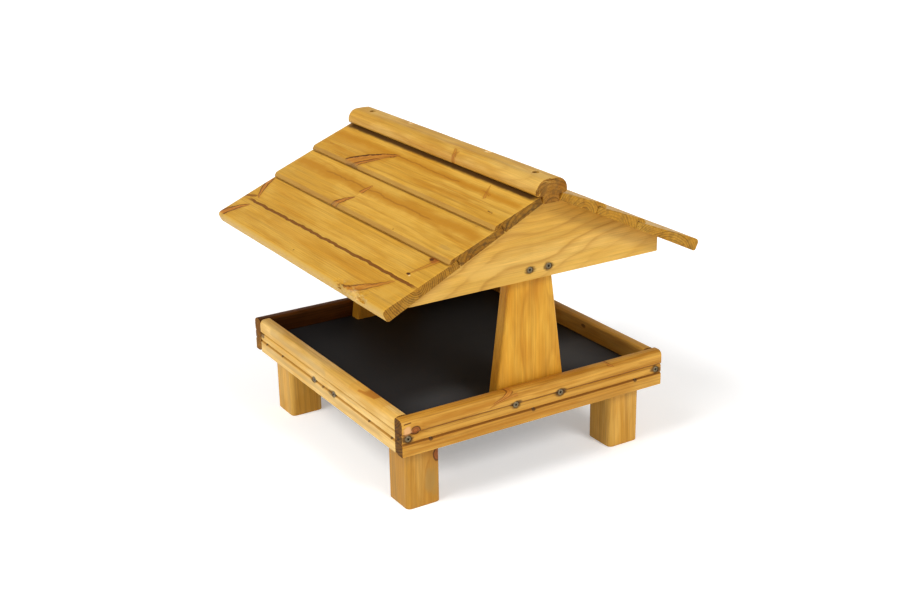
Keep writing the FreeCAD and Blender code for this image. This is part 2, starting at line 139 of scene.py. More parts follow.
class Finish:
    """One procedural material."""

    def __init__(self, name):
        self.material = bpy.data.materials.new(name)
        self.material.use_nodes = True
        self.tree = self.material.node_tree
        self.shader = self.tree.nodes["Principled BSDF"]

    def add(self, kind, settings=None, inputs=None, out=0):
        node = self.tree.nodes.new("ShaderNode" + kind)
        for key, value in (settings or {}).items():
            if key == "stops":
                self.set_stops(node.color_ramp, value)
            else:
                setattr(node, key, value)
        for key, value in (inputs or {}).items():
            self.feed(node.inputs[key], value)
        return Wire(self, node.outputs[out])

    def feed(self, socket, value):
        if isinstance(value, Wire):
            self.tree.links.new(value.socket, socket)
        elif socket.type == "VECTOR":
            socket.default_value = value[:3]
        else:
            socket.default_value = value

    def set_stops(self, ramp, stops):
        while len(ramp.elements) < len(stops):
            ramp.elements.new(0.5)
        for element, (place, value) in zip(ramp.elements, stops):
            element.position = place
            element.color = (value, value, value, 1.0)

    def place(self, origin):
        """Object coordinates in millimetres, counted from origin."""
        coordinates = self.add("TexCoord", out=3)
        scaled = self.add("VectorMath", {"operation": "SCALE"}, {0: coordinates, 3: 1.0 / MM})
        return self.add("VectorMath", {"operation": "SUBTRACT"}, {0: scaled, 1: origin})

    def along(self, vector, axis):
        return self.add("VectorMath", {"operation": "DOT_PRODUCT"}, {0: vector, 1: axis}, out=1)

    def join(self, x, y, z):
        return self.add("CombineXYZ", None, {0: x, 1: y, 2: z})

    def cloud(self, vector, stretch, seed=0.0, detail=2.0, roughness=0.5):
        """Noise from 0 to 1, with its own scale along each grain direction."""
        shift = (seed * 3.1, seed * 5.7, seed * 7.3)
        moved = self.add("VectorMath", {"operation": "MULTIPLY_ADD"},
                         {0: vector, 1: stretch, 2: shift})
        return self.add("TexNoise", None, {"Vector": moved, "Scale": 1.0, "Detail": detail,
                                           "Roughness": roughness})

    def blend(self, share, first, second, way="MIX"):
        return self.add("Mix", {"data_type": "RGBA", "blend_type": way},
                        {0: share, 6: first, 7: second}, out=2)

    def brighten(self, colour, amount):
        return self.add("VectorMath", {"operation": "SCALE"}, {0: colour, 3: amount})

    def rough(self, value):
        self.feed(self.shader.inputs["Roughness"], value)

    def colour(self, value):
        self.feed(self.shader.inputs["Base Color"], value)

    def relief(self, height, depth_mm, strength=1.0):
        """Surface relief from a height of 0 to 1 that stands for depth_mm."""
        bump = self.add("Bump", None, {"Height": height, "Distance": depth_mm * MM,
                                       "Strength": strength})
        self.feed(self.shader.inputs["Normal"], bump)


# ---------------------------------------------------------------- timber finishes

def rgb(r, g, b):
    return (r, g, b, 1.0)


class Tone:
    """Colours of one kind of stained timber, from the palest wood to the darkest rings."""

    def __init__(self, pale, honey, amber, late, dull):
        self.pale = rgb(*pale)
        self.honey = rgb(*honey)
        self.amber = rgb(*amber)
        self.late = rgb(*late)
        self.dull = rgb(*dull)


ROOF_TONE = Tone((0.61, 0.360, 0.068), (0.56, 0.310, 0.046), (0.45, 0.205, 0.016),
                 (0.30, 0.130, 0.014), (0.43, 0.265, 0.075))
GABLE_TONE = Tone((0.66, 0.415, 0.110), (0.62, 0.370, 0.076), (0.55, 0.295, 0.042),
                  (0.40, 0.200, 0.034), (0.54, 0.340, 0.090))
FRONT_TONE = Tone((0.59, 0.325, 0.062), (0.49, 0.245, 0.036), (0.39, 0.165, 0.014),
                  (0.20, 0.078, 0.010), (0.34, 0.190, 0.045))
# Back rail tone: a darker stain with painted shade added, darkened to the shaded look of the rail's inner
# face, so every face of it is dark.
BACK_STAIN_AND_SHADE_TONE = Tone((0.15, 0.058, 0.009), (0.11, 0.038, 0.005), (0.07, 0.020, 0.002),
                 (0.04, 0.011, 0.002), (0.08, 0.035, 0.007))
WORN_TONE = Tone((0.51, 0.290, 0.066), (0.44, 0.228, 0.036), (0.37, 0.158, 0.014),
                 (0.27, 0.113, 0.014), (0.26, 0.160, 0.048))
PALE_TONE = Tone((0.72, 0.49, 0.180), (0.62, 0.375, 0.090), (0.54, 0.270, 0.034),
                 (0.40, 0.200, 0.036), (0.44, 0.290, 0.110))
FOOT_TONE = Tone((0.60, 0.350, 0.080), (0.52, 0.275, 0.042), (0.43, 0.185, 0.016),
                 (0.32, 0.135, 0.016), (0.34, 0.210, 0.060))
POST_TONE = Tone((0.64, 0.350, 0.048), (0.56, 0.275, 0.028), (0.46, 0.190, 0.010),
                 (0.35, 0.140, 0.011), (0.42, 0.220, 0.040))
RIDGE_TONE = Tone((0.62, 0.385, 0.100), (0.55, 0.310, 0.055), (0.43, 0.190, 0.016),
                  (0.36, 0.165, 0.022), (0.38, 0.240, 0.070))
RAW_TONE = Tone((0.64, 0.47, 0.260), (0.56, 0.380, 0.180), (0.47, 0.270, 0.090),
                (0.42, 0.250, 0.100), (0.36, 0.270, 0.160))

KNOT_RED = rgb(0.300, 0.095, 0.020)
KNOT_ORANGE = rgb(0.540, 0.230, 0.040)
KNOT_RIM = rgb(0.090, 0.030, 0.007)
PITH_BROWN = rgb(0.175, 0.055, 0.008)
PITH_EDGE = rgb(0.090, 0.028, 0.005)
# Dark brown: real stain round the screws, and also painted shadow in the gaps under the roof laps and the
# ridge cap.
STAIN_AND_GAP_SHADOW = rgb(0.070, 0.032, 0.010)
FRESH_WOOD = rgb(0.820, 0.600, 0.300)
PINK_WOOD = rgb(0.660, 0.370, 0.170)
LAP_BROWN = rgb(0.330, 0.190, 0.050)
EAVE_PALE = rgb(0.540, 0.345, 0.085)


class Knot:
    """A round knot at (across, along) in mm; deep = (depth, reach) keeps it to one face."""

    def __init__(self, across, along, wide, long, turn=0.0, red=0.8, deep=None):
        self.across = across
        self.along = along
        self.wide = wide
        self.long = long
        self.turn = math.radians(turn)
        self.red = red
        self.deep = deep


class Spike:
    """A knot sawn along its length: base and tip at (across, along) in mm, width at the base."""

    def __init__(self, base, tip, width, bend=0.0, red=0.7, rim=0.85):
        self.base = Vector(base)
        self.tip = Vector(tip)
        self.width = width
        self.bend = bend
        self.red = red
        self.rim = rim


class Line:
    """A streak with the grain between two (across, along) places, with its width and colour."""

    def __init__(self, start, end, width, colour, share=0.9, wander=2.0, soft=0.5, edge=None):
        self.start = start
        self.end = end
        self.width = width
        self.colour = colour
        self.share = share
        self.wander = wander
        self.soft = soft
        self.edge = edge


class Mark:
    """A spot at (across, along) in mm: radius, colour, how strong, and how far it is drawn out."""

    def __init__(self, across, along, radius, colour, share=0.8, stretch=1.0, fray=0.9):
        self.across = across
        self.along = along
        self.radius = radius
        self.colour = colour
        self.share = share
        self.stretch = stretch
        self.fray = fray


class Timber:
    """The grain of one board: its place in the log, its colour and its relief as they build up."""

    def __init__(self, name, origin, across, out, grain, seed):
        self.paint = Finish(name)
        paint = self.paint
        place = paint.place(origin)
        self.across_axis = across
        self.grain_axis = grain
        self.seed = seed
        self.a = paint.along(place, across)
        self.d = paint.along(place, out)
        self.l = paint.along(place, grain)
        self.local = paint.join(self.a, self.d, self.l)
        self.ripple = self.cloud((0.20, 0.20, 0.09), 4.0, 3.0)
        self.colour = None
        self.height = None
        self.soaked = None

    def cloud(self, stretch, salt, detail=2.0, roughness=0.5):
        return self.paint.cloud(self.local, stretch, self.seed + salt, detail, roughness)

    def lay(self, share, colour):
        self.colour = self.paint.blend(share, self.colour, colour)

    def knot_reach(self, knot):
        """Distance from a knot in knot sizes, with an uneven outline."""
        cos, sin = math.cos(knot.turn), math.sin(knot.turn)
        da = self.a - knot.across
        dl = self.l - knot.along
        u = (da * cos + dl * sin) / knot.wide
        v = (dl * cos - da * sin) / knot.long
        total = u * u + v * v
        if knot.deep is not None:
            w = (self.d - knot.deep[0]) / knot.deep[1]
            total = total + w * w
        return total ** 0.5 + (self.ripple - 0.5) * 0.55

    def grow_rings(self, pith, ring, lean, bends, wander, knots):
        """Growth rings: 0 in the pale wood of a year, 1 in its dark late line."""
        sway = self.cloud((0.0, 0.0, 0.0075), 1.0, 1.0)
        heave = self.cloud((0.0, 0.0, 0.006), 2.0, 1.0)
        uneven = self.cloud((0.035, 0.035, 0.0045), 3.0, 2.0)
        ra = self.a - pith[0] + (sway - 0.5) * (2.0 * wander) - self.l * lean[0]
        rd = self.d - pith[1] + (heave - 0.5) * (2.0 * wander) - self.l * lean[1]
        for along, rise, half in bends:
            near = (self.l - along) / half
            ra = ra - (near * near * -1.0).math("EXPONENT") * rise
        reach = (ra * ra + rd * rd) ** 0.5 + (uneven - 0.5) * (ring * 2.2)
        for q in knots:
            reach = reach + (q * q * -0.22).math("EXPONENT") * (ring * 1.6)
        phase = reach / ring
        number = phase.math("FLOOR")
        band = self.paint.add("ValToRGB", {"stops": ((0.0, 0.22), (0.35, 0.0), (0.72, 0.42),
                                                     (0.90, 1.0), (1.0, 0.25))},
                              {0: phase - number})
        lottery = self.paint.add("TexWhiteNoise", {"noise_dimensions": "1D"},
                                 {"W": number + self.seed})
        return band * (lottery * 0.75 + 0.25)

    def stain(self, tone, rings, contrast, blotch, dull):
        """Sapwood colour under the stain, darker where it soaked in and along the late wood."""
        fibre = self.cloud((1.7, 1.7, 0.032), 5.0, 3.0, 0.65)
        thread = self.cloud((0.62, 0.62, 0.0055), 6.0, 3.0, 0.7)
        streak = self.cloud((0.17, 0.17, 0.0035), 6.5, 2.0, 0.5)
        soak = self.cloud((0.070, 0.070, 0.0055), 7.0, 4.0, 0.65)
        cloudy = self.cloud((0.030, 0.030, 0.0075), 8.0, 3.0, 0.6)
        hair = self.cloud((2.2, 2.2, 0.008), 10.0, 1.0)
        self.colour = self.paint.blend(cloudy.fade(0.38, 0.56), tone.pale, tone.honey)
        self.soaked = soak.fade(0.50, 0.68) * blotch
        self.lay(self.soaked, tone.amber)
        self.lay(rings * contrast, tone.late)
        self.lay(hair.fade(0.62, 0.72) * 0.35, tone.late)
        if dull:
            self.lay(soak.fade(0.46, 0.34) * dull, tone.dull)
        shade = (fibre - 0.5) * 0.50 + (thread - 0.5) * 0.50 + (streak - 0.5) * 0.30 + 1.0
        self.colour = self.paint.brighten(self.colour, shade)
        self.height = fibre * 0.40 + rings * 0.22
        self.streak = streak

    def add_knot(self, knot, q, tone):
        self.lay(q.fade(2.7, 0.9) * 0.50, tone.amber)
        inner = (q * 9.0).math("SINE") * 0.20 + 0.95
        heart = q.fade(1.05, 0.88) * knot.red
        self.colour = self.paint.blend(heart, self.colour, self.paint.brighten(KNOT_RED, inner))
        rim = q.fade(0.74, 0.96) * q.fade(1.26, 1.04) * min(1.0, knot.red + 0.2)
        self.lay(rim * 0.85, KNOT_RIM)
        self.height = self.height - rim * 0.6

    def add_spike(self, spike, tone):
        run = spike.tip - spike.base
        length = run.length
        ua, ul = run.x / length, run.y / length
        da = self.a - spike.base.x
        dl = self.l - spike.base.y
        t = (da * ua + dl * ul) / length
        off = da * ul - dl * ua
        if spike.bend:
            off = off - t * (1.0 - t) * (4.0 * spike.bend)
        off = off + (self.ripple - 0.5) * (spike.width * 0.35)
        half = ((1.0 - t).most(0.0) ** 0.62 + 0.02) * (spike.width * 0.5)
        q = abs(off) / half
        ends = t.fade(-0.03, 0.02) * t.fade(1.03, 0.97)
        self.lay(q.fade(3.4, 0.9) * t.fade(-0.12, 0.1) * t.fade(1.25, 0.9) * 0.5, tone.amber)
        threads = self.paint.add("TexNoise", None, {
            "Vector": self.paint.join(off * 1.1, t * (length * 0.05), self.seed), "Scale": 1.0,
            "Detail": 2.0})
        core = self.paint.blend(threads.fade(0.40, 0.62), KNOT_ORANGE, KNOT_RED)
        self.colour = self.paint.blend(q.fade(1.06, 0.88) * ends * spike.red, self.colour, core)
        rim = q.fade(0.70, 0.96) * q.fade(1.42, 1.04) * ends * spike.rim
        self.lay(rim * (self.ripple * 0.9 + 0.6), KNOT_RIM)
        self.height = self.height - rim * 0.5

    def add_line(self, line):
        run = line.end[1] - line.start[1]
        share = (self.l - line.start[1]) / run
        centre = share * (line.end[0] - line.start[0]) + line.start[0]
        waver = self.cloud((0.0, 0.0, 0.030), 9.0 + line.width, 3.0, 0.6)
        off = abs(self.a - centre + (waver - 0.5) * (2.0 * line.wander))
        q = off / ((self.ripple * 0.7 + 0.65) * (line.width * 0.5))
        ends = share.fade(-0.02, 0.03) * share.fade(1.02, 0.97)
        mask = q.fade(1.0 + line.soft, 1.0 - line.soft) * ends
        self.lay(mask * line.share, line.colour)
        if line.edge is not None:
            self.lay(q.fade(0.55, 0.95) * q.fade(1.35, 1.05) * ends * 0.7, line.edge)
            self.height = self.height - mask * 0.8

    def add_mark(self, mark):
        da = (self.a - mark.across) / mark.radius
        dl = (self.l - mark.along) / (mark.radius * mark.stretch)
        q = (da * da + dl * dl) ** 0.5 + (self.ripple - 0.5) * mark.fray
        self.lay(q.fade(1.25, 0.65) * mark.share, mark.colour)

    def finish(self, rings, end, nose):
        """End grain, chamfer tint, sheen and relief."""
        paint = self.paint
        normal = paint.add("TexCoord", out=1)
        if nose is not None:
            facing = paint.along(normal, self.across_axis)
            self.lay(facing.fade(0.24, 0.52) * nose[1], nose[0])
        ending = abs(paint.along(normal, self.grain_axis)).fade(0.55, 0.92)
        pores = self.cloud((1.3, 1.3, 1.3), 11.0, 4.0, 0.75)
        grime = self.cloud((0.16, 0.16, 0.16), 12.0, 3.0, 0.6)
        tint, ring_share, dirt = end
        sawn = paint.brighten(self.colour, (1.0 - rings * ring_share) * (pores * 1.3 + 0.35))
        sawn = paint.blend(1.0, sawn, tint, "MULTIPLY")
        sawn = paint.blend(grime.fade(0.46, 0.64) * dirt, sawn, rgb(0.075, 0.045, 0.016))
        paint.colour(paint.blend(ending, self.colour, sawn))
        paint.rough(ending * 0.25 + (self.streak - 0.5) * 0.20 + self.soaked * -0.05 + 0.47)
        self.height = self.height + ending * (pores * 1.5 - rings * 0.8)
        paint.relief(self.height, 0.35)
        paint.shader.inputs["Specular IOR Level"].default_value = 0.22
        return paint.material


DIRTY_END = (rgb(0.54, 0.46, 0.33), 0.55, 0.50)
CLEAN_END = (rgb(0.74, 0.66, 0.52), 0.80, 0.25)
DARK_END = (rgb(0.36, 0.31, 0.25), 0.60, 0.60)
CAP_END = (rgb(0.62, 0.50, 0.36), 0.55, 0.35)
BACK_END = (rgb(2.30, 2.80, 2.40), 0.45, 0.30)
PALE_END = (rgb(0.86, 0.80, 0.66), 0.50, 0.30)


def pine(name, origin, across, out, grain, tone, pith, ring=3.2, seed=1.0, contrast=0.55,
         blotch=0.6, dull=0.12, features=(), nose=None, wander=7.0, lean=(0.0, 0.0), bends=(),
         end=DIRTY_END):
    """Stained pine board: rings round a pith line, stain, knots and streaks, then end grain."""
    timber = Timber(name, origin, across, out, grain, seed)
    knots = [(knot, timber.knot_reach(knot)) for knot in features if isinstance(knot, Knot)]
    rings = timber.grow_rings(pith, ring, lean, bends, wander, [q for knot, q in knots])
    timber.stain(tone, rings, contrast, blotch, dull)
    for feature in features:
        if isinstance(feature, Line):
            timber.add_line(feature)
    for feature in features:
        if isinstance(feature, Spike):
            timber.add_spike(feature, tone)
    for knot, q in knots:
        timber.add_knot(knot, q, tone)
    for feature in features:
        if isinstance(feature, Mark):
            timber.add_mark(feature)
    return timber.finish(rings, end, nose)


def black_film(name):
    """Smooth resin film on the floor board: faint mottling, dust, and two paler patches of painted light
    and reflection.
    """
    paint = Finish(name)
    place = paint.place((0.0, 0.0, 0.0))
    mottle = paint.cloud(place, (0.012, 0.012, 0.012), 2.0, 3.0)
    speck = paint.cloud(place, (0.9, 0.9, 0.9), 5.0, 2.0, 0.7)
    colour = paint.blend(mottle, rgb(0.0180, 0.0184, 0.0195), rgb(0.0260, 0.0266, 0.0290))
    x, y, z = (paint.along(place, axis) for axis in (X_AXIS, Y_AXIS, Z_AXIS))
    # Two paler patches near the front corners: painted light and sheen on the film.
    patches = ((-92.0, -128.0, 66.0, 40.0, 0.50), (118.0, -96.0, 70.0, 96.0, 1.0))
    for middle_x, middle_y, wide, deep, share in patches:
        u = (x - middle_x) / wide
        v = (y - middle_y) / deep
        painted_light_patch = ((u * u + v * v) ** 0.5 + (mottle - 0.5) * 0.8).fade(1.2, 0.0)
        colour = paint.blend(painted_light_patch * share, colour, rgb(0.086, 0.090, 0.096))
    colour = paint.blend(speck.fade(0.66, 0.80) * 0.20, colour, rgb(0.060, 0.058, 0.055))
    paint.colour(colour)
    paint.rough((mottle - 0.5) * 0.14 + 0.58)
    paint.relief(speck, 0.03)
    paint.shader.inputs["Specular IOR Level"].default_value = 0.18
    return paint.material


def plated_steel(name, colour, rough):
    """Plated steel with worn, duller patches."""
    paint = Finish(name)
    place = paint.place((0.0, 0.0, 0.0))
    wear = paint.cloud(place, (0.55, 0.55, 0.55), 3.0, 3.0)
    grime = paint.cloud(place, (1.7, 1.7, 1.7), 6.0, 2.0)
    tinted = paint.blend(wear.fade(0.4, 0.7) * 0.5, colour, rgb(0.30, 0.27, 0.20))
    paint.colour(paint.blend(grime.fade(0.52, 0.72) * 0.7, tinted, rgb(0.06, 0.045, 0.03)))
    paint.rough((wear - 0.5) * 0.25 + rough)
    paint.shader.inputs["Metallic"].default_value = 1.0
    return paint.material


def recess_shadow_and_grime(name):
    """Old stain and shadow caught in the cross of a screw head."""
    paint = Finish(name)
    place = paint.place((0.0, 0.0, 0.0))
    specks = paint.cloud(place, (1.4, 1.4, 1.4), 3.0, 3.0)
    paint.colour(paint.blend(specks, rgb(0.012, 0.009, 0.006), rgb(0.07, 0.05, 0.03)))
    paint.rough(specks * 0.2 + 0.6)
    return paint.material


# ---------------------------------------------------------------- shaping timber

def corner_angle(corners, i):
    here = Vector(corners[i][:2])
    back = (Vector(corners[i - 1][:2]) - here).normalized()
    ahead = (Vector(corners[(i + 1) % len(corners)][:2]) - here).normalized()
    return math.acos(max(-1.0, min(1.0, back.dot(ahead))))


def stick(corners, length, slices, arris=0.5, cuts=()):
    """Closed bar with a rounded section (a, b) running from 0 to length along its own z."""
    bm = bmesh.new()
    verts = [bm.verts.new((a, b, 0.0)) for a, b, radius in corners]
    bm.faces.new(verts)
    for i, vert in enumerate(verts):
        radius = corners[i][2]
        if radius > 0.0:
            reach = radius / math.tan(corner_angle(corners, i) / 2.0)
            bmesh.ops.bevel(bm, geom=[vert], offset=reach, offset_type="OFFSET", segments=6,
                            profile=0.5, affect="VERTICES", material=-1)
    grown = bmesh.ops.extrude_face_region(bm, geom=bm.faces[:])
    moved = [g for g in grown["geom"] if isinstance(g, bmesh.types.BMVert)]
    bmesh.ops.translate(bm, verts=moved, vec=(0.0, 0.0, length))
    open_edges = [e for e in bm.edges if e.is_boundary]
    if open_edges:
        bmesh.ops.holes_fill(bm, edges=open_edges, sides=0)
    bmesh.ops.recalc_face_normals(bm, faces=bm.faces[:])
    rims = [e for e in bm.edges if abs(e.verts[0].co.z - e.verts[1].co.z) < 1e-6]
    bmesh.ops.bevel(bm, geom=rims, offset=arris, offset_type="OFFSET", segments=2,
                    profile=0.5, affect="EDGES", clamp_overlap=True, material=-1)
    for i in range(1, slices):
        everything = bm.verts[:] + bm.edges[:] + bm.faces[:]
        bmesh.ops.bisect_plane(bm, geom=everything, plane_co=(0.0, 0.0, length * i / slices),
                               plane_no=(0.0, 0.0, 1.0))
    for place in cuts:
        everything = bm.verts[:] + bm.edges[:] + bm.faces[:]
        bmesh.ops.bisect_plane(bm, geom=everything, plane_co=(place, 0.0, 0.0),
                               plane_no=(1.0, 0.0, 0.0))
    return bm


def wander_surface(bm, amount, seed):
    """Leaves the planed faces very slightly out of true, as dried timber is."""
    for vert in bm.verts:
        where = vert.co * 0.013 + Vector((seed, 0.0, 0.0))
        fine = vert.co * 0.09 + Vector((0.0, seed, 0.0))
        vert.co += noise.noise_vector(where) * amount + noise.noise_vector(fine) * amount * 0.18


def to_object(name, bm, axes, origin):
    """Makes an object from a mesh in mm whose own x, y, z follow axes from origin."""
    turn = Matrix((
        (axes[0].x, axes[1].x, axes[2].x, origin[0]),
        (axes[0].y, axes[1].y, axes[2].y, origin[1]),
        (axes[0].z, axes[1].z, axes[2].z, origin[2]),
        (0.0, 0.0, 0.0, 1.0),
    ))
    bm.transform(Matrix.Scale(MM, 4) @ turn)
    bmesh.ops.recalc_face_normals(bm, faces=bm.faces[:])
    mesh = bpy.data.meshes.new(name)
    bm.to_mesh(mesh)
    bm.free()
    piece = bpy.data.objects.new(name, mesh)
    bpy.context.scene.collection.objects.link(piece)
    return piece


def carve(piece, cutters):
    """Cuts the given objects out of a piece and removes them."""
    for cutter in cutters:
        cut = piece.modifiers.new("cut", "BOOLEAN")
        cut.operation = "DIFFERENCE"
        cut.solver = "EXACT"
        cut.object = cutter
    bpy.context.view_layer.update()
    seen = piece.evaluated_get(bpy.context.evaluated_depsgraph_get())
    mesh = bpy.data.meshes.new_from_object(seen)
    piece.modifiers.clear()
    piece.data = mesh
    for cutter in cutters:
        bpy.data.objects.remove(cutter)
    return piece


def settle(piece, node, slot, *finishes):
    """Gives a finished piece its shading, finishes and place in the frame."""
    piece.data.shade_smooth()
    piece.data.set_sharp_from_angle(angle=math.radians(32.0))
    kinds = [face.material_index for face in piece.data.polygons]
    piece.data.materials.clear()
    for finish in finishes:
        piece.data.materials.append(finish)
    for face, kind in zip(piece.data.polygons, kinds):
        face.material_index = min(kind, len(finishes) - 1)
    low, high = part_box(node)
    for vert in piece.data.vertices:
        vert.co = [min(max(vert.co[i], low[i]), high[i]) for i in range(3)]
    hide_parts(node)
    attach(piece, "root")
    return piece


def spun(profile, steps=28):
    """Closed body of revolution from a profile of (radius, height) that starts and ends at 0."""
    bm = bmesh.new()
    verts = [bm.verts.new((r, 0.0, z)) for r, z in profile]
    edges = [bm.edges.new(pair) for pair in zip(verts, verts[1:])]
    bmesh.ops.spin(bm, geom=verts + edges, cent=(0.0, 0.0, 0.0), axis=(0.0, 0.0, 1.0),
                   angle=math.tau, steps=steps, use_merge=True)
    bmesh.ops.remove_doubles(bm, verts=bm.verts[:], dist=1e-4)
    bmesh.ops.recalc_face_normals(bm, faces=bm.faces[:])
    return bm


def facing_axes(direction, roll=0.0):
    """Three axes whose last one points along direction."""
    last = Vector(direction).normalized()
    helper = Z_AXIS if abs(last.z) < 0.9 else X_AXIS
    first = helper.cross(last).normalized()
    second = last.cross(first)
    cos, sin = math.cos(roll), math.sin(roll)
    return (first * cos + second * sin, second * cos - first * sin, last)


def screw_pocket(point, direction):
    """Cutter for a countersunk hole with a slightly torn mouth."""
    head = SCREW_HEAD / 2.0 + 0.35
    shank = SCREW_SHANK / 2.0 + 0.1
    bm = spun([(0.0, 4.0), (head, 4.0), (head, 0.0), (head, -0.3),
               (shank, -SCREW_HEAD_DEPTH - 0.4), (shank, -9.0), (0.0, -9.0)])
    for vert in bm.verts:
        ring = Vector((vert.co.x, vert.co.y, 0.0))
        if ring.length > 3.0:
            swell = noise.noise(vert.co * 0.6 + Vector(point) * 0.37) * 0.45
            vert.co += ring.normalized() * swell
    return to_object("pocket", bm, facing_axes(direction), point)


def chip(point, size, turn=(0.0, 0.0, 0.0), seed=1.0):
    """Cutter for a torn-out chip: a rough flattened lump."""
    bm = bmesh.new()
    bmesh.ops.create_icosphere(bm, subdivisions=4, radius=1.0)
    for vert in bm.verts:
        rough = noise.noise(vert.co * 1.7 + Vector((seed, seed, seed))) * 0.35
        rough += noise.noise(vert.co * 5.0 + Vector((0.0, seed, 0.0))) * 0.14
        vert.co *= 1.0 + rough
        vert.co = Vector((vert.co.x * size[0], vert.co.y * size[1], vert.co.z * size[2]))
    bm.transform(Matrix.Rotation(turn[2], 4, "Z") @ Matrix.Rotation(turn[1], 4, "Y")
                 @ Matrix.Rotation(turn[0], 4, "X"))
    return to_object("chip", bm, (X_AXIS, Y_AXIS, Z_AXIS), point)


# ---------------------------------------------------------------- where the screws go

def screw_places():
    """Head centre and outward direction of every screw, by group, in mm."""
    groups = {}
    inset = SCREW_HEAD / 2.0
    for name in ("gable_screws", "upright_screws", "corner_screws"):
        low, high = box_mm(name)
        level = (low.z + high.z) / 2.0
        groups[name] = [(Vector((x, y, level)), Y_AXIS * sign)
                        for sign, y in ((-1.0, low.y), (1.0, high.y))
                        for x in (low.x + inset, high.x - inset)]
    low, high = box_mm("floor_screws")
    level = (low.z + high.z) / 2.0
    groups["floor_screws"] = [(Vector((x, y, level)), X_AXIS * sign)
                              for sign, x in ((-1.0, low.x), (1.0, high.x))
                              for y in (low.y + inset, high.y - inset)]
    low, high = box_mm("ridge_screws")
    groups["ridge_screws"] = [(Vector((0.0, y, high.z)), Z_AXIS)
                              for y in (low.y + inset, high.y - inset)]
    for name, holder in (("foot_screws", "foot_front_right"), ("batten_screws", "floor_batten_right")):
        low, high = box_mm(name)
        level = (low.z + high.z) / 2.0
        face = box_mm(holder)[0].x + 0.3
        groups[name] = [(Vector((sign * face, y, level)), X_AXIS * -sign)
                        for sign in (-1.0, 1.0) for y in (low.y + inset, high.y - inset)]
    return groups


SCREWS = screw_places()


def pockets_in(node, *groups):
    """Cutters for the screws of these groups whose heads lie in a node."""
    low, high = box_mm(node)
    found = []
    for name in groups:
        for point, direction in SCREWS[name]:
            inside = all(low[i] - 1.0 <= point[i] <= high[i] + 1.0 for i in range(3))
            if inside:
                found.append(screw_pocket(point, direction))
    return found


def cross_recess():
    """Cutters for the cross and its middle in a screw head."""
    middle = spun([(0.0, 1.0), (1.25, 1.0), (1.2, 0.0), (0.5, -2.0), (0.0, -2.3)], 16)
    cutters = [to_object("middle", middle, (X_AXIS, Y_AXIS, Z_AXIS), (0.0, 0.0, 0.0))]
    for turn in (0.0, math.pi / 2.0):
        bm = bmesh.new()
        bmesh.ops.create_cube(bm, size=1.0)
        bmesh.ops.scale(bm, verts=bm.verts[:], vec=(4.7, 1.15, 3.4))
        for vert in bm.verts:
            if vert.co.z < 0.0:
                vert.co.x *= 0.42
                vert.co.y *= 0.75
        bmesh.ops.rotate(bm, verts=bm.verts[:], cent=(0.0, 0.0, 0.0),
                         matrix=Matrix.Rotation(turn, 3, "Z"))
        cutters.append(to_object("cross", bm, (X_AXIS, Y_AXIS, Z_AXIS), (0.0, 0.0, 0.0)))
    return cutters


def screw_model():
    """One countersunk screw, head up at the origin, as a mesh in metres."""
    head = SCREW_HEAD / 2.0
    shank = SCREW_SHANK / 2.0
    bm = spun([(0.0, 0.05), (head * 0.6, 0.03), (head - 0.35, -0.04), (head, -0.35),
               (shank, -SCREW_HEAD_DEPTH), (shank, -8.0), (0.0, -8.0)])
    master = to_object("screw", bm, (X_AXIS, Y_AXIS, Z_AXIS), (0.0, 0.0, 0.0))
    carve(master, cross_recess())
    mesh = master.data
    for face in mesh.polygons:
        middle = face.center / MM
        # Faces inside the cross take the second finish: painted shadow with old stain.
        inside = math.hypot(middle.x, middle.y) < 2.6 and -2.5 < middle.z < -0.12
        if inside:
            face.material_index = 1
    bpy.data.objects.remove(master)
    return mesh


def place_screws(steel, grime):
    model = screw_model()
    for name, places in SCREWS.items():
        bm = bmesh.new()
        for point, direction in places:
            first, second, last = facing_axes(direction, random.uniform(0.0, math.pi))
            part = bmesh.new()
            part.from_mesh(model)
            lean = Matrix.Rotation(random.uniform(-0.05, 0.05), 4, first)
            spot = Matrix.Translation(point * MM)
            turn = Matrix((first, second, last)).transposed().to_4x4()
            part.transform(spot @ lean @ turn)
            copy = bpy.data.meshes.new("copy")
            part.to_mesh(copy)
            part.free()
            bm.from_mesh(copy)
            bpy.data.meshes.remove(copy)
        mesh = bpy.data.meshes.new(name)
        bm.to_mesh(mesh)
        bm.free()
        piece = bpy.data.objects.new(name + "_detail", mesh)
        bpy.context.scene.collection.objects.link(piece)
        # The second finish, on the faces inside the cross, is painted shadow with old stain.
        settle(piece, name, "screw_steel", steel, grime)


# ---------------------------------------------------------------- tray

def rail_section(height, thick):
    """Rail section: t inwards from the outer face, z up, with two grooves and a bead."""
    return [
        (0.0, 0.0, 0.9), (0.0, 14.3, 0.5), (2.1, 16.0, 0.25), (0.5, 17.7, 0.7),
        (0.5, 25.3, 0.7), (2.1, 27.0, 0.25), (0.0, 28.7, 0.5), (0.0, height, 6.5),
        (thick, height, 4.0), (thick, 0.0, 8.0),
    ]


def make_rail(node, inward, run, material, screws):
    low, high = box_mm(node)
    span = high - low
    start = Vector((low.x, low.y, low.z))
    if inward.dot(X_AXIS + Y_AXIS) < 0.0:
        start = Vector((high.x if inward.x < 0.0 else low.x, high.y if inward.y < 0.0 else low.y, low.z))
    length = abs(span.dot(run))
    thick = abs(span.dot(inward))
    bm = stick(rail_section(span.z, thick), length, 48, 0.5)
    wander_surface(bm, 0.22, len(node) + length)
    piece = to_object(node + "_board", bm, (inward, Z_AXIS, run), start)
    carve(piece, pockets_in(node, *screws))
    return settle(piece, node, "stained_pine", material)


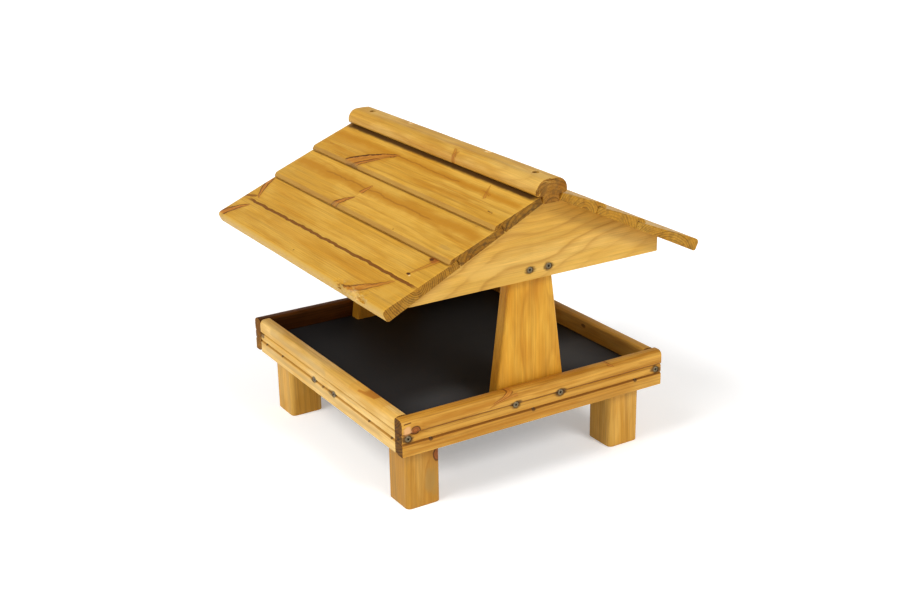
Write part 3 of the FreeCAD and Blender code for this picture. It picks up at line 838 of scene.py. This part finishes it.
def make_foot(node, material):
    low, high = box_mm(node)
    corners = [(low.x, low.y, 6.0), (high.x, low.y, 6.0), (high.x, high.y, 6.0), (low.x, high.y, 6.0)]
    bm = stick(corners, high.z - low.z, 16, 1.1)
    piece = to_object(node + "_post", bm, (X_AXIS, Y_AXIS, Z_AXIS), (0.0, 0.0, low.z))
    carve(piece, pockets_in(node, "foot_screws"))
    return settle(piece, node, "stained_pine", material)


def make_batten(node, material):
    low, high = box_mm(node)
    corners = [(low.x, low.z, 0.8), (high.x, low.z, 0.8), (high.x, high.z, 0.4), (low.x, high.z, 0.4)]
    bm = stick(corners, high.y - low.y, 20, 0.4)
    piece = to_object(node + "_strip", bm, (X_AXIS, Z_AXIS, Y_AXIS), (0.0, low.y, 0.0))
    carve(piece, pockets_in(node, "batten_screws"))
    return settle(piece, node, "raw_pine", material)


def make_floor(material):
    low, high = box_mm("floor_panel")
    corners = [(low.x, low.y, 0.0), (high.x, low.y, 0.0), (high.x, high.y, 0.0), (low.x, high.y, 0.0)]
    bm = stick(corners, high.z - low.z, 1, 0.3)
    piece = to_object("floor_film_board", bm, (X_AXIS, Y_AXIS, Z_AXIS), (0.0, 0.0, low.z))
    return settle(piece, "floor_panel", "film_board", material)


# ---------------------------------------------------------------- uprights and gables

def make_upright(node, material):
    low, high = box_mm(node)
    half = (high.x - low.x) / 2.0
    neck = UPRIGHT_NECK_WIDTH / 2.0
    rise = GABLE_LOW.z - low.z
    top = half + (neck - half) * (high.z - low.z) / rise
    corners = [(-half, 0.0, 0.0), (half, 0.0, 0.0), (top, high.z - low.z, 0.0), (-top, high.z - low.z, 0.0)]
    bm = stick(corners, high.y - low.y, 1, 0.001)
    bmesh.ops.remove_doubles(bm, verts=bm.verts[:], dist=0.01)
    sides = [e for e in bm.edges
             if abs(e.verts[0].co.y - e.verts[1].co.y) > 50.0]
    bmesh.ops.bevel(bm, geom=sides, offset=2.9, offset_type="OFFSET", segments=5, profile=0.5,
                    affect="EDGES", clamp_overlap=True, material=-1)
    for i in range(1, 30):
        everything = bm.verts[:] + bm.edges[:] + bm.faces[:]
        bmesh.ops.bisect_plane(bm, geom=everything, plane_co=(0.0, (high.z - low.z) * i / 30.0, 0.0),
                               plane_no=(0.0, 1.0, 0.0))
    piece = to_object(node + "_board", bm, (X_AXIS, Z_AXIS, Y_AXIS), (0.0, low.y, low.z))
    return settle(piece, node, "stained_pine", material)


def make_gable(node, material):
    low, high = box_mm(node)
    peak = (ROOF_APEX - high.z) / math.tan(ROOF_PITCH)
    shoulder = low.z + GABLE_END_HEIGHT
    corners = [(low.x, low.z, 1.0), (high.x, low.z, 1.0), (high.x, shoulder, 0.0),
               (peak, high.z, 0.0), (-peak, high.z, 0.0), (low.x, shoulder, 0.0)]
    steps = [low.x + (high.x - low.x) * i / 40.0 for i in range(1, 40)]
    bm = stick(corners, high.y - low.y, 2, 0.6, steps)
    piece = to_object(node + "_board", bm, (X_AXIS, Z_AXIS, Y_AXIS), (0.0, low.y, 0.0))
    carve(piece, pockets_in(node, "gable_screws"))
    return settle(piece, node, "light_pine", material)


# ---------------------------------------------------------------- roof

def slope_axes(side):
    cos, sin = math.cos(ROOF_PITCH), math.sin(ROOF_PITCH)
    return (Vector((side * cos, 0.0, -sin)), Vector((side * sin, 0.0, cos)), Y_AXIS)


def slope_spot(side, s, n, y):
    down, out, run = slope_axes(side)
    return Vector((0.0, 0.0, ROOF_APEX)) + down * s + out * n + run * y


def taper(board, lower_edge, s):
    start, end = board
    return BOARD_UPPER_EDGE + (lower_edge - BOARD_UPPER_EDGE) * (s - start) / (end - start)


def lapped_section(board, below, below_edge):
    """Tapering board (s, n) with its rebate underneath and its chamfered lower edge."""
    start, end = board
    lip = taper(below, below_edge, end) + 0.15
    notch = end - LAP - LAP_GAP
    shoulder = end - NOSE_CHAMFER_RUN
    return [(start, 0.0, 0.3), (notch, 0.0, 0.6), (notch, lip, 0.2), (end, lip, 0.3),
            (end, BOARD_LOWER_EDGE - NOSE_CHAMFER_DROP, 0.6),
            (shoulder, taper(board, BOARD_LOWER_EDGE, shoulder), 0.9),
            (start, BOARD_UPPER_EDGE, 0.6)]


def eaves_section():
    start, end = LOWER_BOARD
    return [(start, 0.0, 0.3), (end, 0.0, 3.4), (end, EAVE_THICKNESS, 5.0),
            (start, BOARD_UPPER_EDGE, 0.6)]


def make_roof_board(side, word, section, material, torn=False):
    side_word = "left" if side < 0 else "right"
    node = "roof_board_" + side_word + "_" + word
    low, high = box_mm(node)
    start = section[0][0]
    width = max(c[0] for c in section) - start
    cuts = [start + width * i / 12.0 for i in range(1, 12)]
    bm = stick(section, high.y - low.y, 60, 0.5, cuts)
    wander_surface(bm, 0.28, side * 3.0 + start)
    if torn:
        tear_eave(bm)
    axes = slope_axes(side)
    piece = to_object(node + "_plank", bm, axes, Vector((0.0, low.y, ROOF_APEX)))
    return settle(piece, node, "stained_pine", material)


def tear_eave(bm):
    """Torn, splintered upper edge of the eaves board, near its front end."""
    for i in range(64):
        everything = bm.verts[:] + bm.edges[:] + bm.faces[:]
        bmesh.ops.bisect_plane(bm, geom=everything, plane_co=(0.0, 0.0, 34.0 + i * 1.4),
                               plane_no=(0.0, 0.0, 1.0))
    for s in (224.0, 226.5, 228.5, 230.0, 231.4, 232.8, 234.0):
        everything = bm.verts[:] + bm.edges[:] + bm.faces[:]
        bmesh.ops.bisect_plane(bm, geom=everything, plane_co=(s, 0.0, 0.0),
                               plane_no=(1.0, 0.0, 0.0))
    for vert in bm.verts:
        s, n, y = vert.co
        reach = 1.0 - abs((y - 78.0) / 40.0) ** 3
        edge = max(0.0, min(1.0, (s - 222.0) / 10.0)) * max(0.0, min(1.0, (n - 5.0) / 8.0))
        if reach > 0.0 and edge > 0.0:
            coarse = noise.noise(Vector((s * 0.16, n * 0.2, y * 0.10 + 3.0)))
            fine = noise.noise(Vector((s * 0.6, n * 0.6, y * 0.33)))
            bite = max(0.0, coarse * 1.5 + fine * 0.55 + 0.28) * min(1.0, reach * 2.0) * edge
            vert.co.y -= bite * 3.6
            vert.co.x -= bite * 1.8


def make_ridge_cap(material):
    low, high = box_mm("ridge_cap")
    seat = slope_spot(1.0, UPPER_BOARD[0], BOARD_UPPER_EDGE, 0.0).z + 0.1
    stem = slope_spot(1.0, UPPER_BOARD[0], 0.0, 0.0).x - 1.2
    half = high.x
    corners = [(-stem, low.z, 1.5), (stem, low.z, 1.5), (stem, seat, 0.0), (half, seat, 4.5),
               (half, high.z, 14.0), (-half, high.z, 14.0), (-half, seat, 4.5), (-stem, seat, 0.0)]
    bm = stick(corners, high.y - low.y, 60, 0.8)
    wander_surface(bm, 0.3, 4.0)
    piece = to_object("ridge_cap_moulding", bm, (X_AXIS, Z_AXIS, Y_AXIS), (0.0, low.y, 0.0))
    cutters = pockets_in("ridge_cap", "ridge_screws")
    cutters.append(chip((7.6, 98.0, high.z + 0.1), (3.6, 5.0, 1.4), (0.0, 0.3, 0.0), 3.0))
    cutters.append(chip((7.6, -80.0, high.z + 0.1), (3.6, 6.5, 1.4), (0.0, 0.3, 0.0), 8.0))
    cutters.append(chip((-19.5, -221.0, seat + 5.0), (4.5, 3.0, 5.0), (0.0, 0.3, 0.0), 5.0))
    cutters.append(chip((-6.0, -221.0, high.z - 1.5), (9.0, 2.2, 2.6), (0.0, 0.0, 0.1), 6.0))
    carve(piece, cutters)
    return settle(piece, "ridge_cap", "stained_pine", material)


# ---------------------------------------------------------------- putting it together

def slope_pine(name, side, pith, nose=(LAP_BROWN, 0.60), **look):
    down, out, run = slope_axes(side)
    return pine(name, (0.0, 0.0, ROOF_APEX), down, out, run, ROOF_TONE, pith, nose=nose, **look)


def left_roof_finishes():
    amber = ROOF_TONE.amber
    eaves = slope_pine(
        "pine_left_eaves", -1, (188.0, 14.0), ring=2.5, seed=3.0, contrast=0.30, blotch=0.50,
        dull=0.22, wander=1.5, end=CLEAN_END, nose=(EAVE_PALE, 0.8),
        features=[
            Line((188.5, -217.0), (192.0, 205.0), 3.3, PITH_BROWN, 0.88, 3.4, 0.45, PITH_EDGE),
            # Dark line at 144.6: painted shadow in the gap under the middle board's lap.
            Line((144.6, -220.0), (144.6, 220.0), 2.0, STAIN_AND_GAP_SHADOW, 0.6, 0.2, 0.7),
            Line((205.0, -200.0), (206.0, 120.0), 16.0, amber, 0.35, 4.0, 0.9),
            Spike((150.0, 220.0), (185.0, 191.0), 9.0, -2.5, 0.85, 1.0),
            Spike((238.0, 218.0), (199.0, 188.0), 14.0, 2.5, 0.85, 0.9),
            Spike((240.0, -120.0), (193.0, -182.0), 13.0, -4.0, 0.65, 0.65),
            Spike((143.0, -199.0), (178.0, -184.0), 6.0, 0.0, 0.35, 0.6),
            Line((183.0, 198.0), (191.0, 222.0), 5.0, PITH_BROWN, 0.75, 1.0, 0.6),
            Mark(224.5, 11.6, 1.2, KNOT_RIM),
            Mark(146.0, -191.0, 5.0, KNOT_RED, 0.8, 1.6),
            Mark(147.0, -187.0, 2.2, KNOT_RIM, 0.9, 1.8),
            Mark(177.0, -184.5, 2.0, KNOT_RIM, 1.0, 1.8, 0.5),
            Mark(178.5, -188.5, 1.3, FRESH_WOOD, 0.8, 1.3),
            Mark(208.0, -192.0, 11.0, ROOF_TONE.pale, 0.6, 1.4),
            Mark(234.0, -124.0, 5.0, KNOT_RIM, 0.40, 2.4, 2.6),
            Mark(233.0, -150.0, 5.0, FRESH_WOOD, 0.40, 2.6, 2.6),
        ])
    middle = slope_pine(
        "pine_left_middle", -1, (103.0, -26.0), ring=5.2, seed=5.0, contrast=0.35, blotch=0.75,
        features=[
            Line((97.0, -220.0), (104.0, 220.0), 15.0, amber, 0.85, 5.0, 0.8),
            # Dark line at 80.6: painted shadow in the gap under the upper board's lap.
            Line((80.6, -220.0), (80.6, 220.0), 2.0, STAIN_AND_GAP_SHADOW, 0.6, 0.2, 0.7),
            Line((101.0, -120.0), (101.0, 140.0), 2.2, ROOF_TONE.late, 0.6, 6.0, 0.6),
            Spike((151.0, 52.0), (119.0, 32.5), 12.0, 1.5, 0.85, 1.0),
            Spike((110.0, 34.5), (92.0, 32.5), 8.0, 0.0, 0.9, 0.8),
            Line((112.0, 34.0), (106.0, 70.0), 6.0, amber, 0.6, 1.0, 0.9),
            Mark(137.0, -90.0, 0.9, KNOT_RIM),
            Mark(128.0, -190.0, 3.0, ROOF_TONE.dull, 0.5, 3.4),
        ])
    upper = slope_pine(
        "pine_left_upper", -1, (38.0, -24.0), ring=5.0, seed=8.0, contrast=0.35, blotch=0.70,
        features=[
            Line((38.0, -220.0), (37.0, 220.0), 9.0, amber, 0.80, 3.5, 0.8),
            # Dark line at 18.0: painted shadow in the gap under the ridge cap.
            Line((18.0, -220.0), (18.0, 220.0), 8.0, STAIN_AND_GAP_SHADOW, 0.95, 0.4, 0.6),
            Line((38.0, -90.0), (36.0, 70.0), 1.8, ROOF_TONE.late, 0.7, 4.0, 0.6),
            Line((48.0, 60.0), (45.0, 216.0), 16.0, amber, 0.5, 5.0, 0.9),
            Spike((83.0, 124.0), (35.0, 54.0), 19.0, 5.0, 0.70, 1.0),
            Spike((84.0, 108.0), (42.0, 66.0), 8.0, 1.0, 0.75, 0.9),
            Mark(80.5, 107.0, 3.2, KNOT_RIM, 0.90, 5.0, 1.2),
            Spike((46.0, -154.0), (23.0, -136.0), 3.0, 0.8, 0.5, 0.45),
            Spike((39.0, -156.0), (36.0, -134.0), 2.2, -1.0, 0.4, 0.45),
            Line((20.0, -196.0), (20.5, -187.0), 1.5, KNOT_RIM, 0.75, 0.3, 0.3),
            Line((61.0, -192.0), (60.5, -182.0), 1.5, KNOT_RIM, 0.75, 0.3, 0.3),
            Line((60.0, 190.0), (61.0, 200.0), 1.3, ROOF_TONE.late, 0.6, 0.3, 0.5),
        ])
    return upper, middle, eaves


def right_roof_finishes():
    upper = slope_pine("pine_right_upper", 1, (52.0, -8.0), ring=3.0, seed=13.0, contrast=0.45,
                       end=PALE_END,
                       features=[Knot(48.0, 60.0, 5.0, 9.0)])
    middle = slope_pine("pine_right_middle", 1, (96.0, -14.0), ring=3.4, seed=17.0,
                        end=PALE_END, contrast=0.45, features=[Knot(118.0, -80.0, 4.0, 8.0, 20.0),
                                                 Spike((143.0, 120.0), (112.0, 96.0), 7.0, 2.0)])
    eaves = slope_pine("pine_right_eaves", 1, (196.0, -40.0), ring=3.0, seed=21.0,
                       contrast=0.45, end=PALE_END, nose=(EAVE_PALE, 0.8),
                       features=[Knot(170.0, 110.0, 5.0, 10.0), Knot(205.0, -60.0, 4.0, 8.0)])
    return upper, middle, eaves


def build_roof():
    sections = (lapped_section(UPPER_BOARD, MIDDLE_BOARD, BOARD_LOWER_EDGE),
                lapped_section(MIDDLE_BOARD, LOWER_BOARD, EAVE_THICKNESS), eaves_section())
    for side, finishes in ((-1, left_roof_finishes()), (1, right_roof_finishes())):
        for word, section, finish in zip(("upper", "middle", "lower"), sections, finishes):
            make_roof_board(side, word, section, finish, side < 0 and word == "lower")
    top = box_mm("ridge_cap")[1].z
    cap = pine("pine_ridge", (0.0, 0.0, top), X_AXIS, Z_AXIS, Y_AXIS, RIDGE_TONE,
               (4.0, -38.0), ring=4.2, seed=23.0, contrast=0.40, blotch=0.5, dull=0.2,
               end=CAP_END,
               features=[Spike((-21.8, -50.0), (-13.0, -40.0), 4.6, 0.6, 0.45, 0.5),
                         Spike((-21.6, -44.0), (-15.0, -54.0), 3.0, 0.0, 0.40, 0.4),
                         Mark(7.5, 98.0, 4.2, FRESH_WOOD, 0.95, 1.3),
                         Mark(7.5, -80.0, 4.2, FRESH_WOOD, 0.95, 1.6)])
    make_ridge_cap(cap)


def stains(node, origin, across, grain, radius, share, *groups):
    """Dark halos in the stain round the screws of a piece."""
    low, high = box_mm(node)
    found = []
    for name in groups:
        for point, direction in SCREWS[name]:
            if all(low[i] - 1.0 <= point[i] <= high[i] + 1.0 for i in range(3)):
                spot = point - Vector(origin)
                found.append(Mark(spot.dot(across), spot.dot(grain), radius, STAIN_AND_GAP_SHADOW, share,
                                  1.5, 1.3))
    return found


def build_uprights_and_gables():
    for end, word, seed in ((-1.0, "front", 31.0), (1.0, "back", 37.0)):
        node = word + "_gable"
        low, high = box_mm(node)
        origin = (0.0, end * high.y, low.z)
        features = stains(node, origin, Z_AXIS, X_AXIS, 5.0, 0.75, "gable_screws")
        features.append(Mark(22.0, -75.0, 9.0, GABLE_TONE.pale, 0.6, 3.0))
        face = pine("pine_gable_" + word, origin, Z_AXIS, Y_AXIS * end, X_AXIS, GABLE_TONE,
                    (-30.0, -16.0), ring=2.8, seed=seed, contrast=0.72, blotch=0.30, dull=0.1,
                    wander=4.0, bends=[(-62.0 * -end, 13.0, 48.0), (60.0 * -end, -7.0, 60.0)],
                    lean=(0.03, 0.05), features=features, end=CLEAN_END)
        make_gable(node, face)
        post = pine("pine_upright_" + word, origin, X_AXIS, Y_AXIS * end, Z_AXIS, POST_TONE,
                    (8.0, -70.0), ring=4.4, seed=seed + 3.0, contrast=0.45, blotch=0.55,
                    dull=0.1, wander=4.0)
        make_upright(word + "_upright", post)


def front_rail_features(origin):
    tone = FRONT_TONE
    features = stains("front_rail", origin, Z_AXIS, X_AXIS, 5.2, 0.85, "upright_screws",
                      "corner_screws")
    features += [
        Knot(30.5, -168.0, 4.6, 6.0, 0.0, 0.9),
        Mark(32.0, -178.0, 5.5, PINK_WOOD, 0.9, 1.0),
        Line((40.3, -182.5), (40.8, -173.0), 1.1, KNOT_RIM, 0.95, 0.4, 0.3),
        Spike((46.0, -36.0), (36.0, -64.0), 5.0, 1.5, 0.7, 0.6),
        Spike((40.0, -30.0), (31.0, -70.0), 3.0, -1.5, 0.5, 0.5),
        Line((35.0, -160.0), (38.0, -60.0), 7.0, tone.amber, 0.6, 2.0, 0.8),
        # The dark lines at 28.0 and 15.2 are painted shade in the two grooves; the pale line at 21.5 is a
        # painted highlight on the bead.
        Line((28.0, -190.0), (28.0, 190.0), 2.2, tone.late, 0.95, 0.35, 0.5),
        Line((15.2, -190.0), (15.2, 190.0), 2.0, tone.late, 0.90, 0.35, 0.5),
        Line((21.5, -186.0), (21.5, 186.0), 4.0, tone.pale, 0.55, 0.5, 0.8),
        Line((5.0, -180.0), (8.0, 60.0), 4.0, tone.amber, 0.6, 1.5, 0.8),
        Line((31.0, 20.0), (36.0, 150.0), 3.0, tone.pale, 0.6, 1.0, 0.8),
        Spike((45.0, 103.0), (41.0, 112.0), 2.4, 0.0, 0.7),
    ]
    for place in (-148.0, -7.0, 145.0):
        features.append(Mark(14.5, place, 2.2, STAIN_AND_GAP_SHADOW, 0.8, 1.3, 0.6))
    return features


def left_rail_features(origin):
    tone = PALE_TONE
    features = stains("left_rail", origin, Z_AXIS, Y_AXIS, 4.6, 0.7, "floor_screws")
    features += [
        Line((45.5, -126.0), (43.5, -90.0), 1.6, KNOT_RED, 0.9, 0.6, 0.4),
        Line((44.5, -150.0), (42.0, -70.0), 7.0, tone.amber, 0.45, 2.0, 0.9),
        # The dark lines at 15.6 and 27.4 are painted shade in the two grooves.
        Line((15.6, -190.0), (15.6, 190.0), 2.4, tone.late, 0.85, 0.4, 0.6),
        Line((27.4, -190.0), (27.4, 190.0), 2.2, tone.late, 0.75, 0.4, 0.6),
        Line((8.0, -150.0), (9.0, 170.0), 5.0, tone.dull, 0.5, 2.0, 0.9),
        Line((36.0, -10.0), (38.0, 150.0), 8.0, tone.dull, 0.5, 2.0, 0.9),
        Mark(16.0, 26.0, 3.2, STAIN_AND_GAP_SHADOW, 0.55, 2.6, 2.0),
        Mark(15.5, -24.0, 3.4, STAIN_AND_GAP_SHADOW, 0.50, 3.0, 2.0),
        Mark(15.0, 0.0, 2.0, STAIN_AND_GAP_SHADOW, 0.6, 1.5, 1.0),
        Mark(24.0, 176.0, 3.6, STAIN_AND_GAP_SHADOW, 0.75, 1.4, 1.6),
    ]
    for place in (-171.5, -118.0, 116.0, 164.0):
        features.append(Mark(15.5, place, 1.8, STAIN_AND_GAP_SHADOW, 0.8, 1.3, 0.6))
    return features


def build_tray():
    outer = box_mm("front_rail")[0]
    side_low = box_mm("left_rail")[0]
    origin = (0.0, outer.y, outer.z)
    front = pine("pine_front_rail", origin, Z_AXIS, -Y_AXIS, X_AXIS, FRONT_TONE, (60.0, -30.0),
                 ring=3.4, seed=41.0, contrast=0.55, blotch=0.75, dull=0.2, wander=3.0,
                 features=front_rail_features(origin), end=DARK_END)
    origin = (0.0, -outer.y, outer.z)
    # The back rail's tone carries painted shade as well as its darker stain.
    back = pine("pine_back_rail", origin, Z_AXIS, Y_AXIS, X_AXIS, BACK_STAIN_AND_SHADE_TONE, (60.0, -30.0),
                ring=3.4, seed=43.0, contrast=0.65, blotch=0.9, end=BACK_END,
                features=stains("back_rail", origin, Z_AXIS, X_AXIS, 5.0, 0.8,
                                "upright_screws", "corner_screws") + [Knot(22.0, 90.0, 5.0, 8.0)])
    origin = (side_low.x, 0.0, side_low.z)
    left = pine("pine_left_rail", origin, Z_AXIS, -X_AXIS, Y_AXIS, PALE_TONE, (20.0, -60.0),
                ring=3.0, seed=47.0, contrast=0.40, blotch=0.30, dull=0.3, wander=4.0,
                features=left_rail_features(origin))
    origin = (-side_low.x, 0.0, side_low.z)
    right = pine("pine_right_rail", origin, Z_AXIS, X_AXIS, Y_AXIS, FOOT_TONE, (20.0, -60.0),
                 ring=3.0, seed=53.0, contrast=0.5, blotch=0.6,
                 features=stains("right_rail", origin, Z_AXIS, Y_AXIS, 4.6, 0.7, "floor_screws")
                 + [Mark(36.0, -58.0, 2.4, KNOT_RIM, 0.7, 2.0, 1.4)])
    make_rail("front_rail", Y_AXIS, X_AXIS, front, ("upright_screws", "corner_screws"))
    make_rail("back_rail", -Y_AXIS, X_AXIS, back, ("upright_screws", "corner_screws"))
    make_rail("left_rail", X_AXIS, Y_AXIS, left, ("floor_screws",))
    make_rail("right_rail", -X_AXIS, Y_AXIS, right, ("floor_screws",))
    build_feet()
    strip = pine("pine_batten", (0.0, 0.0, side_low.z), X_AXIS, Z_AXIS, Y_AXIS, RAW_TONE,
                 (60.0, 80.0), seed=83.0)
    make_batten("floor_batten_left", strip)
    make_batten("floor_batten_right", strip)
    make_floor(black_film("black_film"))


def build_feet():
    seed = 61.0
    for end in ("front", "back"):
        for side in ("left", "right"):
            node = "foot_" + end + "_" + side
            low, high = box_mm(node)
            features = []
            if node == "foot_front_left":
                features = [Knot(20.5, 62.0, 6.6, 8.5, 0.0, 0.95, (-22.5, 14.0)),
                            Mark(8.0, 30.0, 7.0, FOOT_TONE.dull, 0.65, 2.2),
                            Line((15.0, 10.0), (13.0, 75.0), 6.0, FOOT_TONE.dull, 0.4, 2.0, 0.9)]
            tone = WORN_TONE if node == "foot_front_left" else FOOT_TONE
            middle = (low + high) / 2.0
            finish = pine("pine_" + node, (middle.x, middle.y, 0.0), X_AXIS, Y_AXIS, Z_AXIS,
                          tone, (36.0, 60.0), ring=3.0, seed=seed, contrast=0.45,
                          blotch=0.45, dull=0.25, features=features, wander=3.0)
            make_foot(node, finish)
            seed += 5.0


def stained_heads(name):
    """Nail heads brushed over with the same stain as the boards."""
    paint = Finish(name)
    place = paint.place((0.0, 0.0, 0.0))
    patches = paint.cloud(place, (0.8, 0.8, 0.8), 4.0, 2.0)
    paint.colour(paint.blend(patches, rgb(0.34, 0.170, 0.026), rgb(0.50, 0.270, 0.045)))
    paint.rough(patches * 0.1 + 0.45)
    return paint.material


def finish_nails():
    finishes = {"roof_nails": stained_heads("nail_stained"),
                "floor_pins": plated_steel("nail_steel", rgb(0.16, 0.13, 0.10), 0.5)}
    for node, finish in finishes.items():
        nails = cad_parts[node]
        nails.data.materials.clear()
        nails.data.materials.append(finish)


# ---------------------------------------------------------------- studio and camera

def build_studio():
    bm = bmesh.new()
    bmesh.ops.create_grid(bm, x_segments=1, y_segments=1, size=20.0)
    mesh = bpy.data.meshes.new("studio_floor")
    bm.to_mesh(mesh)
    bm.free()
    floor = bpy.data.objects.new("studio_floor", mesh)
    bpy.context.scene.collection.objects.link(floor)
    paint = Finish("studio_white")
    paint.colour(rgb(0.86, 0.86, 0.86))
    paint.rough(0.9)
    paint.shader.inputs["Specular IOR Level"].default_value = 0.1
    paint.shader.inputs["Emission Color"].default_value = rgb(1.0, 1.0, 1.0)
    paint.shader.inputs["Emission Strength"].default_value = 0.26
    mesh.materials.append(paint.material)


def broad_light(name, bearing, height, spread, strength):
    """Large distant softbox: bearing from the front and height in degrees."""
    light = bpy.data.lights.new(name, "SUN")
    light.angle = math.radians(spread)
    light.energy = strength * math.pi
    lamp = bpy.data.objects.new(name, light)
    bearing = math.radians(bearing)
    height = math.radians(height)
    toward = Vector((math.sin(bearing) * math.cos(height), -math.cos(bearing) * math.cos(height),
                     math.sin(height)))
    lamp.location = toward * 3.0
    lamp.rotation_euler = toward.to_track_quat("Z", "Y").to_euler()
    bpy.context.scene.collection.objects.link(lamp)


def build_lights():
    world = bpy.data.worlds.new("studio_air")
    world.use_nodes = True
    nodes = world.node_tree.nodes
    links = world.node_tree.links
    shine = nodes["Background"]
    where = nodes.new("ShaderNodeTexCoord")
    split = nodes.new("ShaderNodeSeparateXYZ")
    ramp = nodes.new("ShaderNodeValToRGB")
    links.new(where.outputs[0], split.inputs[0])
    links.new(split.outputs[2], ramp.inputs[0])
    links.new(ramp.outputs[0], shine.inputs[0])
    for element, (place, value) in zip(ramp.color_ramp.elements, ((0.05, 0.80), (0.55, 0.10))):
        element.position = place
        element.color = (value, value, value, 1.0)
    bpy.context.scene.world = world
    broad_light("front_key", 8.0, 40.0, 18.0, 0.41)
    broad_light("left_key", -84.0, 47.0, 30.0, 0.56)
    broad_light("overhead", 0.0, 88.0, 60.0, 0.12)


def place_camera():
    azimuth, elevation, roll = math.radians(-31.305), math.radians(20.411), math.radians(-1.043)
    back = Vector((math.sin(azimuth) * math.cos(elevation),
                   -math.cos(azimuth) * math.cos(elevation), math.sin(elevation)))
    right = Vector((math.cos(azimuth), math.sin(azimuth), 0.0))
    up = back.cross(right)
    turned_right = right * math.cos(roll) + up * math.sin(roll)
    turned_up = up * math.cos(roll) - right * math.sin(roll)
    target = Vector((0.0, 0.0, 0.17098))
    camera = bpy.data.cameras.new("camera")
    camera.lens = 55.77
    camera.sensor_width = 36.0
    camera.clip_end = 60.0
    holder = bpy.data.objects.new("camera", camera)
    turn = Matrix((turned_right, turned_up, back)).transposed().to_4x4()
    holder.matrix_world = Matrix.Translation(target + back * 1.77698) @ turn
    bpy.context.scene.collection.objects.link(holder)
    bpy.context.scene.camera = holder
    bpy.context.scene.view_settings.view_transform = "Standard"
    bpy.context.scene.view_settings.look = "Medium High Contrast"


place_camera()
build_roof()
build_uprights_and_gables()
build_tray()
place_screws(plated_steel("screw_steel", rgb(0.19, 0.15, 0.09), 0.34), recess_shadow_and_grime("screw_recess_shadow_and_grime"))
finish_nails()
build_studio()
build_lights()
